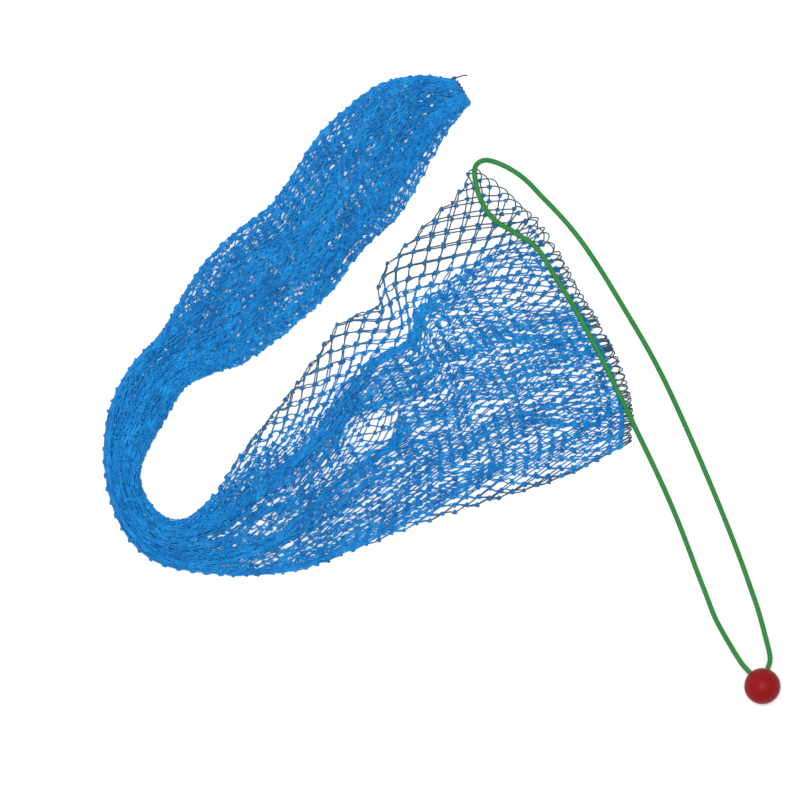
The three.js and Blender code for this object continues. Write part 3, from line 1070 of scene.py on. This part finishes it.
    def _relaxed(self, flat: np.ndarray, along: np.ndarray, steps: int) -> np.ndarray:
        """Pulls the knots together until no bar is longer than its twine."""
        longest, shortest = self.bar * self.taut, self.bar * self.crushed
        bars = self.bars()
        target = flat.reshape(-1, 2)
        points = target.copy()
        ends = (along.ravel() == 0) | (along.ravel() == 1)
        hold = np.where(ends, self.end_hold, self.hold)[:, None]
        count = len(points)
        meeting = np.bincount(bars.ravel(), minlength=count)[:, None]
        for _ in range(steps):
            gap = points[bars[:, 1]] - points[bars[:, 0]]
            length = np.linalg.norm(gap, axis=1) + 1e-12
            excess = np.where(length > longest, length - longest, np.minimum(length - shortest, 0)) / length
            pull = gap * (excess * 0.5)[:, None]
            total = [
                np.bincount(bars[:, 0], pull[:, k], count) - np.bincount(bars[:, 1], pull[:, k], count)
                for k in range(2)
            ]
            points += np.stack(total, 1) / meeting * self.eagerness
            points += (target - points) * hold
        return points.reshape(flat.shape)


# ---------------------------------------------------------------------------------------
# The pieces
# ---------------------------------------------------------------------------------------


# How far a slack bar may bow out, and how far its middle rides over its knots, at shares of the
# bag's stations: least bowed and most raised in the bend, where the strands lie side by side.
SAG_SHARES = (0.0, 0.36, 0.42, 0.58, 0.68, 1.0)
SAGS = (0.0022, 0.0022, 0.0008, 0.0010, 0.0028, 0.0032)
RISES = (0.0003, 0.0003, 0.0013, 0.0010, 0.0, 0.0)


@dataclass
class NetBag:
    """The bag of netting: its sections from the tail to the mouth, and the loops of its selvedge."""

    lay: NetLay
    tree: TwineTree
    knot: bpy.types.Object
    finish: bpy.types.Material
    twine: float = 0.0013
    sides: int = 5
    knot_rise: float = 0.0022
    steps: int = 4
    edge_height: float = 0.003
    knot_scale: float = 1.22
    knot_unevenness: float = 0.12
    spread_ratio: float = 0.28
    seed: int = 11
    knot_tilt: float = 0.2
    knot_swing: float = 0.3
    lone_cell: float = 0.007
    lone_range: tuple[float, float] = (1.05, 0.42)
    bow_share: float = 0.9
    wave_share: float = 0.35
    wave_size: float = 0.6
    bar_unevenness: float = 0.0007
    loop_steps: int = 12
    loop_half: tuple[float, float] = (0.0016, 0.0085)
    loop_rise: float = 0.0012
    knots: np.ndarray = field(init=False)
    lone: np.ndarray = field(init=False)
    turn: np.ndarray = field(init=False)

    def __post_init__(self) -> None:
        """Raises the laid knots to their heights and finds how lone each one lies."""
        rng = np.random.default_rng(self.seed)
        self.knots = np.dstack([self.lay.knots, self._heights(rng)])
        self.lone = self._loneliness()
        along = np.gradient(self.lay.knots, axis=0)
        angle = np.arctan2(along[..., 1], along[..., 0]) - math.pi / 2
        tilt = rng.uniform(-self.knot_tilt, self.knot_tilt, (2, *angle.shape))
        self.turn = np.dstack([*tilt, angle + rng.normal(0, self.knot_swing, angle.shape)])

    def _heights(self, rng: np.random.Generator) -> np.ndarray:
        """Heights that put one half of the tube over the other within the bag's thickness."""
        lay = self.lay
        full = lay.plan.rise(lay.station.ravel()).reshape(lay.station.shape)
        thick = self.edge_height + (full - self.edge_height) * (1 - (2 * lay.across - 1) ** 4)
        loose = 1 - 0.7 * lay.open_share
        drift = 0.10 * wander(rng, lay.across.shape, (3.0, 1.5)) + 0.08 * rng.normal(size=lay.across.shape)
        fold = np.clip(np.minimum(lay.across, 1 - lay.across) / 0.08, 0, 1)
        place = np.clip(0.5 + lay.side * (0.05 + 0.24 * fold) + drift * loose, 0, 1)
        place = place * (1 - 0.35 * lay.open_share)
        return self.twine / 2 + (thick - self.twine) * place

    def _loneliness(self) -> np.ndarray:
        """1 where a knot has little twine around it, and 0 in the thick of the bag."""
        flat = self.knots[..., :2].reshape(-1, 2)
        low = flat.min(0) - 3 * self.lone_cell
        index = np.floor((flat - low) / self.lone_cell).astype(int)
        counts = np.zeros(index.max(0) + 4)
        np.add.at(counts, (index[:, 0], index[:, 1]), 1)
        around = smoothed(smoothed(counts, 1.3, 0, False), 1.3, 1, False)[index[:, 0], index[:, 1]]
        return smooth_ramp(around, *self.lone_range).reshape(self.knots.shape[:2])

    def _bar_points(
        self, rng: np.random.Generator, start: np.ndarray, end: np.ndarray, sag_most: np.ndarray, over: float
    ) -> np.ndarray:
        """The points of bars of twine between knots, bowed where they are slack.

        Args:
            rng: The source of random numbers.
            start: The knots that the bars leave.
            end: The knots that they reach.
            sag_most: How far each bar may bow out.
            over: How much higher than its knots a bar's middle lies.

        Returns:
            For each bar its points, without the last.
        """
        gap = end - start
        length = np.linalg.norm(gap, axis=1)
        slack = np.maximum(self.lay.bar - length, 0)
        arch_sag = np.sqrt(0.375 * np.maximum(length, 0.004) * slack)
        sag = np.minimum(arch_sag * self.bow_share, sag_most)
        sag *= np.where(rng.random(len(gap)) < 0.5, -1, 1)
        side = np.column_stack([left_of(gap[:, :2]), np.zeros(len(gap))])
        share = np.arange(self.steps) / self.steps
        arch, wave = 4 * share * (1 - share), self.wave_size * np.sin(2 * np.pi * share)
        shape = np.where(rng.random(len(gap))[:, None] < self.wave_share, wave, arch)
        made = start[:, None] + gap[:, None] * share[:, None]
        made += side[:, None] * (sag[:, None] * shape)[..., None]
        lift = (rng.normal(0, self.bar_unevenness, len(gap)) + over)[:, None] * arch
        made[..., 2] = np.maximum(made[..., 2] + lift, self.twine / 2)
        return made

    def _row_of_twine(self, rng: np.random.Generator, row: int) -> tuple[np.ndarray, np.ndarray]:
        """One turn of twine round the tube, up and down between two rows of knots.

        Returns:
            The turn's points, and how lone each lies.
        """
        near, far = self.knots[row], self.knots[row + 1]
        lone_near, lone_far = self.lone[row], self.lone[row + 1]
        if row % 2:
            far, lone_far = np.roll(far, -1, 0), np.roll(lone_far, -1)
        share_along = self.lay.station[row].mean() / self.lay.plan.last
        most = float(np.interp(share_along, SAG_SHARES, SAGS))
        over = float(np.interp(share_along, SAG_SHARES, RISES))
        inside = np.clip(np.minimum(self.lay.across[row], 1 - self.lay.across[row]) / 0.10, 0, 1)
        sag = most * (0.25 + 0.75 * inside)
        up = self._bar_points(rng, near, far, sag, over)
        down = self._bar_points(rng, far, np.roll(near, -1, 0), sag, over)
        share = np.arange(self.steps) / self.steps
        lone_up = lone_near[:, None] + (lone_far - lone_near)[:, None] * share
        lone_down = lone_far[:, None] + (np.roll(lone_near, -1) - lone_far)[:, None] * share
        points = np.stack([up, down], 1).reshape(-1, 3)
        return points, np.stack([lone_up, lone_down], 1).reshape(-1)

    def _rows_of(self, section: int) -> range:
        """The rows of twine that lie in a section."""
        middle = self.lay.station.mean(1)
        marks = self.lay.plan.marks
        cuts = [int(np.argmin(np.abs(middle - mark))) for mark in marks]
        cuts[0], cuts[-1] = 0, self.lay.rows
        return range(cuts[section], cuts[section + 1])

    def _lines_mesh(
        self,
        name: str,
        turns: list[tuple[np.ndarray, np.ndarray]],
        knot_rows: Sequence[int],
        rng: np.random.Generator,
    ) -> bpy.types.Mesh:
        """A mesh of closed lines and loose knot points with the attributes that the tree reads."""
        points, edges, lone, tint = [], [], [], []
        start = 0
        for line, alone in turns:
            count = len(line)
            index = np.arange(count)
            points.append(line)
            edges.append(np.stack([index, (index + 1) % count], 1) + start)
            lone.append(alone)
            tint.append(np.interp(index, np.linspace(0, count, 25), rng.normal(0.5, 0.3, 25)))
            start += count
        rows = list(knot_rows)
        knot_points = np.maximum(self.knots[rows], (-np.inf, -np.inf, self.knot_rise)).reshape(-1, 3)
        extra = len(knot_points)
        mesh = bpy.data.meshes.new(name + "_lines")
        mesh.from_pydata(np.vstack([*points, knot_points]).tolist(), np.vstack(edges).tolist(), [])
        set_attributes(
            mesh,
            lone=np.concatenate([*lone, 0.45 * self.lone[rows].ravel()]),
            tint=np.concatenate([*tint, rng.normal(0.35, 0.25, extra)]),
            knot=np.concatenate([np.zeros(start), np.ones(extra)]),
            knot_turn=np.vstack([np.zeros((start, 3)), self.turn[rows].reshape(-1, 3)]),
        )
        return mesh

    def _grow(self, name: str, lines: bpy.types.Mesh) -> bpy.types.Object:
        """Grows laid lines into twine and knots."""
        return self.tree.grown(
            name,
            lines,
            Twine_Diameter=self.twine,
            Twine_Sides=self.sides,
            Knot_Scale=self.knot_scale,
            Knot_Unevenness=self.knot_unevenness,
            Seed=self.seed,
            Knot_Shape=self.knot,
            Finish=self.finish,
        )

    def sections(self) -> list[bpy.types.Object]:
        """Builds, dresses and fastens the sections."""
        made = []
        for number, name in enumerate(SECTIONS):
            rng = np.random.default_rng([self.seed, number])
            rows = self._rows_of(number)
            turns = [self._row_of_twine(rng, row) for row in rows]
            knot_rows = [row + 1 for row in rows]
            if number == 0:
                knot_rows = [0, *knot_rows]
            lines = self._lines_mesh(name, turns, knot_rows, rng)
            piece = self._grow(name.replace("webbing", "netting"), lines)
            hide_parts(name)
            self._fasten(piece, name)
            made.append(piece)
        return made

    def _fasten(self, piece: bpy.types.Object, name: str) -> None:
        """Rides a section on its body, or fixes it where it lies."""
        if name in TAIL_SECTIONS:
            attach(piece, Body.TAIL.value)
        elif name in BEND_SECTIONS:
            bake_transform(piece)
        elif name in TURN_SECTIONS:
            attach(piece, Body.NET.value)
        else:
            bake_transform(piece)

    def selvedge_loops(self, nodes: Sequence[str]) -> bpy.types.Object:
        """Builds the last half meshes at the mouth: one turn of twine that loops from knot to knot.

        Args:
            nodes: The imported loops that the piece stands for.

        Returns:
            The piece.
        """
        rng = np.random.default_rng([self.seed, len(SECTIONS)])
        last = self.knots[-1]
        after = np.roll(last, -1, 0)
        ahead = unit(self.lay.knots[-1] - self.lay.knots[-4])
        outward = unit(ahead + np.roll(ahead, -1, 0))
        gap = after - last
        half = np.clip(np.linalg.norm(gap[:, :2], axis=1) * 0.5, *self.loop_half)
        chord = unit(gap[:, :2])
        full = np.sqrt(2 * (2 * self.lay.bar / math.pi) ** 2 - half**2)
        reach = full * rng.uniform(0.82, 1.0, len(half))
        rise = rng.uniform(0.0, self.loop_rise, len(last))
        points = np.zeros((len(last), self.loop_steps, 3))
        for k in range(self.loop_steps):
            part = k / self.loop_steps
            side, out = -math.cos(math.pi * part), math.sin(math.pi * part)
            loose = min(1.0, 1.6 * out)
            swell = half * (1 + 0.22 * math.sin(math.pi * min(1.0, 1.3 * out)))
            foot = last[:, :2] + gap[:, :2] * (side + 1) / 2
            free = last[:, :2] + gap[:, :2] / 2 + chord * (swell * side)[:, None]
            points[:, k, :2] = foot * (1 - loose) + free * loose + outward * (reach * out)[:, None]
            height = (last[:, 2] + gap[:, 2] * part) * (1 - out) + (self.twine / 2 + rise) * out
            points[:, k, 2] = np.maximum(height, self.twine / 2)
        turn = (points.reshape(-1, 3), np.full(len(last) * self.loop_steps, 0.95))
        piece = self._grow("selvedge_loops", self._lines_mesh("selvedge_loops", [turn], [], rng))
        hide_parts(*nodes)
        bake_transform(piece)
        return piece


@dataclass
class TailTwine:
    """The twine that shuts the tail: its run along the blunt end, its knot and its loose end."""

    tree: TwineTree
    knot: bpy.types.Object
    finish: bpy.types.Material
    run_diameter: float = 0.0022
    end_diameter: float = 0.0013
    stitch: float = 0.0045
    whip: float = 0.0006
    run_bow: float = 0.0007
    run_points: int = 97

    def _line(self, name: str, line: np.ndarray, diameter: float) -> bpy.types.Object:
        """Grows one open line into twine."""
        mesh = bpy.data.meshes.new(name + "_lines")
        index = np.arange(len(line) - 1)
        mesh.from_pydata(line.tolist(), np.stack([index, index + 1], 1).tolist(), [])
        none = np.zeros(len(line))
        set_attributes(mesh, lone=none + 0.8, tint=none + 0.3, knot=none, knot_turn=np.zeros((len(line), 3)))
        piece = self.tree.grown(
            name,
            mesh,
            Twine_Diameter=diameter,
            Twine_Sides=10,
            Knot_Scale=1.0,
            Knot_Unevenness=0.0,
            Seed=0,
            Knot_Shape=self.knot,
            Finish=self.finish,
        )
        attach(piece, Body.TAIL.value)
        return piece

    def run(self) -> bpy.types.Object:
        """The run along the tail's end, whipped over its edge in small stitches."""
        low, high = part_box("tail_closing_twine")
        start = np.array([high.x - self.run_diameter, low.y + self.run_diameter / 2])
        stop = np.array([low.x + self.run_diameter, high.y - self.run_diameter / 2])
        share = np.linspace(0, 1, self.run_points)
        stitches = round(float(np.linalg.norm(stop - start)) / self.stitch)
        turns = 2 * math.pi * stitches * share
        bow = self.run_bow * np.sin(math.pi * share) + self.whip * np.cos(turns)
        flat = start + (stop - start) * share[:, None] - left_of(stop - start) * bow[:, None]
        height = (low.z + high.z) / 2 + self.whip * np.sin(turns)
        piece = self._line("tail_twine_run", np.column_stack([flat, height]), self.run_diameter * 0.7)
        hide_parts("tail_closing_twine")
        return piece

    def tied(self) -> bpy.types.Object:
        """The knot at the corner: two turns of the twine drawn tight."""
        low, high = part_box("tail_twine_knot")
        centre = np.array(low + high) / 2
        size = (high.x - low.x) / 2
        drawn = centre + drawn_turns(39, 1.2) * size * np.array([0.24, 0.24, 0.30])
        mesh = tube_mesh("tail_twine_hitch", drawn, np.array(size * 0.36), 8, ring=True)
        none = np.zeros(len(mesh.vertices))
        set_attributes(mesh, lone=none + 0.6, tint=none + 0.3)
        piece = mesh_object("tail_twine_hitch", mesh)
        mesh.materials.append(self.finish)
        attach(piece, Body.TAIL.value)
        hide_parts("tail_twine_knot")
        return piece

    def loose_end(self) -> bpy.types.Object:
        """The frayed end that curls away from the knot and lies on the ground."""
        knot_low, knot_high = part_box("tail_twine_knot")
        low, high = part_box("tail_twine_end")
        start = (knot_low + knot_high) / 2
        radius = self.end_diameter / 2
        points = np.array(
            [
                (start.x, start.y, start.z),
                (start.x * 0.7 + high.x * 0.3, start.y * 0.6 + high.y * 0.4, start.z * 0.7),
                (start.x * 0.3 + high.x * 0.7, start.y * 0.15 + high.y * 0.85, radius * 1.2),
                (high.x - radius, high.y - radius, radius),
            ]
        )
        piece = self._line("tail_twine_tip", centripetal(points, 8), self.end_diameter)
        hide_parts("tail_twine_end")
        return piece


# The drawcord's route: out of the ball, along the ground, up over the mouth of the netting, round
# its corner and back along the ground into the ball.
CORD_ROUTE = tuple(
    (x / 1000, y / 1000, z / 1000)
    for x, y, z in (
        (380.1, -346.5, 18), (373, -338.7, 16.6), (366.1, -328.5, 12.4), (355, -309.5, 5.6),
        (343, -287.5, 2.9), (334, -265, 2.7), (324, -234.5, 2.7), (306, -186.5, 2.7),
        (291, -153.5, 3.4), (271, -112, 6), (258, -87.5, 8.4), (241.5, -49.5, 9.6),
        (223, -13.5, 10.2), (199, 29.5, 10.6), (182, 57.5, 10.6), (167, 79.5, 10.4),
        (154, 90.5, 10.2), (142, 93.5, 10.1), (126, 102.5, 9.9), (113, 120.5, 9.6),
        (105.5, 142.5, 8.8), (105.7, 158.8, 7.4), (115, 165.6, 5.6), (129, 163.5, 4),
        (154, 148.5, 2.7), (173, 130.5, 2.7), (199, 103.5, 2.7), (218, 79.5, 2.7),
        (237, 47.5, 2.7), (256, 14.5, 2.7), (286, -33.5, 2.7), (307, -79.5, 2.7),
        (339.5, -153.5, 2.7), (372, -234.5, 2.7), (382, -261, 2.7), (390, -287.5, 3),
        (395.5, -308.5, 6.8), (399.6, -325, 13.4), (400.3, -334.5, 16.9), (397.8, -342.5, 18),
    )
)


@dataclass
class Drawcord:
    """The braided drawcord, from the ball round the mouth of the bag and back into the ball."""

    finish: bpy.types.Material
    diameter: float = 0.005
    sides: int = 32
    carriers: int = 8
    cell: float = 0.0034
    ring_gap: float = 0.0008
    ease: float = 0.012
    relief: float = 0.00026

    def route(self) -> np.ndarray:
        """The cord's centreline, with the bends that a cord of its stiffness can't hold eased out."""
        line = centripetal(np.array(CORD_ROUTE), 24)
        line = evenly(line, round(lengths_along(line)[-1] / self.ease * 6))
        away = np.minimum(np.arange(len(line)), np.arange(len(line))[::-1])
        for reach in (6, 16):
            eased = smoothed(line, reach, 0, False)
            moved = np.linalg.norm(eased - line, axis=1)
            share = np.clip(away / reach - 1.5, 0, 1) * smooth_ramp(moved, 0.0030, 0.0015)
            share = smoothed(share[:, None], 4, 0, False)
            line = line * (1 - share) + eased * share
        return line

    def build(self, ball_centre: Vector) -> bpy.types.Object:
        """Builds the cord with its braid, and fixes it where it lies.

        Args:
            ball_centre: The middle of the ball; not used.

        Returns:
            The piece.
        """
        line = self.route()
        length = float(lengths_along(line)[-1])
        line = evenly(line, round(length / self.ring_gap))
        ridge = self._braid(lengths_along(line))
        radius = self.diameter / 2 - self.relief * (1 - ridge)
        mesh = tube_mesh("drawcord_braid", line, radius, self.sides)
        set_attributes(mesh, ridge=ridge.ravel())
        mesh.materials.append(self.finish)
        piece = mesh_object("drawcord_braid", mesh)
        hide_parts("drawcord")
        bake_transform(piece)
        LOG.info("drawcord: %.3f m long", length)
        return piece

    def _braid(self, along: np.ndarray) -> np.ndarray:
        """The braid's height, from 0 in the gaps to 1 on the strands, at each ring and side."""
        angle = np.arange(self.sides) / self.sides * self.carriers
        right = angle[None] + along[:, None] / self.cell
        left = angle[None] - along[:, None] / self.cell
        over = (np.floor(right) + np.floor(left)) % 2 == 0
        return np.where(over, np.sin(np.pi * (right % 1)), np.sin(np.pi * (left % 1)))


@dataclass
class CordBall:
    """The cord ball: two moulded half shells, with the drawcord's stopper knots inside."""

    plastic: bpy.types.Material
    braid: bpy.types.Material
    wall: float = 0.003
    seam: float = 0.0003
    edge: float = 0.0005
    hole_clearance: float = 0.0005
    hole_flare: float = 0.0004
    flare_depth: float = 0.0012
    hole_past: float = 0.002
    turns: int = 72
    rings: int = 20
    inner_rings: int = 12
    hole_sides: int = 32

    def centre(self) -> Vector:
        """The middle of the ball."""
        low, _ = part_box("ball_lower_shell")
        _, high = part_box("ball_upper_shell")
        return (low + high) / 2

    def radius(self) -> float:
        """The ball's outer radius."""
        low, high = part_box("ball_lower_shell")
        return (high.x - low.x) / 2

    @staticmethod
    def _polar(radius: float, angle: float) -> tuple[float, float]:
        """The distance from the axis and the height at an angle from straight down."""
        return radius * math.sin(angle), -radius * math.cos(angle)

    def _half_profile(self) -> list[tuple[float, float]]:
        """Half a lower shell's outline as distances from the axis and heights, from the bottom round."""
        outer, inner = self.radius(), self.radius() - self.wall
        top = -self.seam / 2
        rim = math.acos((self.seam / 2 + self.edge) / outer)
        outside = [self._polar(outer, rim * k / self.rings) for k in range(self.rings + 1)]
        corner = math.sqrt(outer**2 - top**2)
        lip = [(corner - self.edge * 0.4, top - self.edge * 0.3), (corner - self.edge, top), (inner, top)]
        quarter = math.pi / 2
        steps = self.inner_rings
        inside = [self._polar(inner, quarter * (1 - k / steps)) for k in range(1, steps)]
        return [*outside, *lip, *inside, (0.0, -inner)]

    def shell(self, name: str, node: str, up: bool, exits: Sequence[Vector], cord: float) -> bpy.types.Object:
        """Builds one half shell.

        Args:
            name: The piece's name.
            node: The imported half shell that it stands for.
            up: Whether it is the upper half.
            exits: Directions in which the cord leaves the ball.
            cord: The cord's diameter.

        Returns:
            The piece.
        """
        made = bmesh.new()
        rings = []
        for distance, height in self._half_profile():
            turns = self.turns if distance > 1e-9 else 1
            angles = [2 * math.pi * k / turns for k in range(turns)]
            z = -height if up else height
            spots = [(distance * math.cos(a), distance * math.sin(a), z) for a in angles]
            rings.append([made.verts.new(spot) for spot in spots])
        bridge(made, rings)
        piece = mesh_object(name, closed_mesh(name, made))
        self._drill(piece, exits, cord)
        piece.data.transform(Matrix.Translation(self.centre()))
        shade_smooth(piece.data)
        piece.data.set_sharp_from_angle(angle=math.radians(40))
        piece.data.materials.clear()
        piece.data.materials.append(self.plastic)
        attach(piece, Body.BALL.value)
        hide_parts(node)
        return piece

    def _drill(self, piece: bpy.types.Object, exits: Sequence[Vector], cord: float) -> None:
        """Cuts the cord's holes out of a half shell, each with a flared mouth."""
        radius = cord / 2 + self.hole_clearance
        ball = self.radius()
        stations = (
            (ball - 2 * self.wall, radius),
            (ball - self.flare_depth, radius),
            (ball + self.hole_past, radius + self.hole_flare * 2),
        )
        up = Vector((0, 0, 1))
        angles = [2 * math.pi * (k + 0.5) / self.hole_sides for k in range(self.hole_sides)]
        for number, out in enumerate(exits):
            drill = bmesh.new()
            side = up.cross(out)
            spokes = [side * math.cos(angle) + up * math.sin(angle) for angle in angles]
            rings = [
                [drill.verts.new(out * far + spoke * wide) for spoke in spokes] for far, wide in stations
            ]
            bridge(drill, rings)
            drill.faces.new(rings[0])
            drill.faces.new(rings[-1])
            tool = mesh_object(f"drill_{number}", closed_mesh(f"drill_{number}", drill))
            cut = piece.modifiers.new("hole", "BOOLEAN")
            cut.operation = "DIFFERENCE"
            cut.solver = "EXACT"
            cut.object = tool
            bake_modifiers(piece)
            bpy.data.objects.remove(tool)

    def build(self, cord: float) -> list[bpy.types.Object]:
        """Builds both half shells and dresses the stopper knots inside."""
        exits = []
        for end in (CORD_ROUTE[0], CORD_ROUTE[-1]):
            out = Vector(end) - self.centre()
            out.z = 0
            exits.append(out.normalized())
        pieces = [
            self.shell("ball_shell_lower", "ball_lower_shell", False, exits, cord),
            self.shell("ball_shell_upper", "ball_upper_shell", True, exits, cord),
        ]
        for node in ("stopper_knot_left", "stopper_knot_right"):
            knot = frame["nodes"][node]
            knot.data.materials.clear()
            knot.data.materials.append(self.braid)
        return pieces


@dataclass
class Studio:
    """The plain floor, the soft light and the camera straight above."""

    floor_size: float = 8.0
    view_height: float = 8.0
    view_width: float = 0.8
    centre: tuple[float, float] = (0.031, -0.0745)
    sensor: float = 36.0
    sky_strength: float = 0.4

    def camera(self) -> None:
        """Makes the camera that looks straight down."""
        lens = bpy.data.cameras.new("camera")
        lens.sensor_width = self.sensor
        lens.lens = self.sensor * self.view_height / self.view_width
        lens.clip_end = 50.0
        eye = bpy.data.objects.new("camera", lens)
        eye.location = (*self.centre, self.view_height)
        bpy.context.scene.collection.objects.link(eye)
        bpy.context.scene.camera = eye

    def floor(self) -> None:
        """Makes the pale floor."""
        half = self.floor_size / 2
        corners = [(-half, -half, 0), (half, -half, 0), (half, half, 0), (-half, half, 0)]
        mesh = bpy.data.meshes.new("floor")
        mesh.from_pydata(corners, [], [(0, 1, 2, 3)])
        material, sketch, shader = new_material("pale_floor")
        pale = {"Base Color": (0.9, 0.9, 0.9, 1.0), "Roughness": 0.9, "Specular IOR Level": 0.1}
        sketch.set(shader, pale)
        mesh.materials.append(material)
        mesh_object("floor", mesh)

    def lights(self) -> None:
        """Makes the even sky and two large soft lights."""
        world = bpy.data.worlds.new("sky")
        world.use_nodes = True
        sky = NodeSketch(world.node_tree)
        sky.set(world.node_tree.nodes["Background"], {0: (1.0, 1.0, 1.0, 1.0), 1: self.sky_strength})
        bpy.context.scene.world = world
        for name, place, power, size in (
            ("overhead", (-0.10, 0.25, 8.8), 690.0, 2.4),
            ("side", (-1.4, 1.1, 1.8), 12.0, 1.6),
        ):
            light = bpy.data.lights.new(name, "AREA")
            light.energy = power
            light.size = size
            lamp = bpy.data.objects.new(name, light)
            lamp.location = place
            lamp.rotation_euler = (-Vector(place)).to_track_quat("-Z", "Y").to_euler()
            bpy.context.scene.collection.objects.link(lamp)
        bpy.context.scene.view_settings.view_transform = "Standard"


FINISHES = (
    # The green braid's gap colour is painted shade in the braid's gaps.
    BraidedPolyester("green_braid", gap=(0.006, 0.07, 0.013), strand=(0.026, 0.225, 0.045)),
    MouldedPlastic("red_plastic", colour=(0.235, 0.005, 0.008), rubbed=(0.275, 0.008, 0.011)),
    NylonTwine("blue_nylon", deep=(0.004, 0.15, 0.49), bright=(0.014, 0.36, 0.84), lone=(0.04, 0.092, 0.135)),
    NylonTwine("slate_twine", deep=(0.02, 0.08, 0.15), bright=(0.05, 0.15, 0.26), lone=(0.03, 0.08, 0.13)),
)


def section_meshes() -> list[tuple[np.ndarray, np.ndarray]]:
    """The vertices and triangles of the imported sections, from the tail to the mouth."""
    found = []
    for name in SECTIONS:
        mesh = frame["nodes"][name].data
        points = np.zeros(len(mesh.vertices) * 3, np.float32)
        mesh.vertices.foreach_get("co", points)
        mesh.calc_loop_triangles()
        corners = np.zeros(len(mesh.loop_triangles) * 3, np.int32)
        mesh.loop_triangles.foreach_get("vertices", corners)
        found.append((points.reshape(-1, 3).astype(float), corners.reshape(-1, 3)))
    return found


def main() -> None:
    """Builds the pieces in order."""
    logging.basicConfig(level=logging.INFO, format="%(name)s: %(message)s")
    studio = Studio()
    studio.camera()
    effects = SharedEffects(twine_lay_group(), handling_group())
    braid, plastic, blue, slate = (finish.material(effects) for finish in FINISHES)

    ball = CordBall(plastic, braid)
    cord = Drawcord(braid)
    LOG.info("cord: %s", cord.build(ball.centre()).name)
    for piece in ball.build(cord.diameter):
        LOG.info("ball: %s", piece.name)

    tree = TwineTree()
    bag = NetBag(NetLay(NetPlan(section_meshes())), tree, knot_shape(NetBag.twine), blue)
    for piece in bag.sections():
        LOG.info("bag: %s, %d faces", piece.name, len(piece.data.polygons))
    loops = sorted(name for name in frame["nodes"] if name.startswith("mouth_loop"))
    LOG.info("bag: %s", bag.selvedge_loops(loops).name)
    tail = TailTwine(tree, bag.knot, slate)
    for piece in (tail.run(), tail.tied(), tail.loose_end()):
        LOG.info("tail: %s", piece.name)
    bpy.data.objects.remove(bag.knot)

    studio.floor()
    studio.lights()


if __name__ == "__main__":
    main()
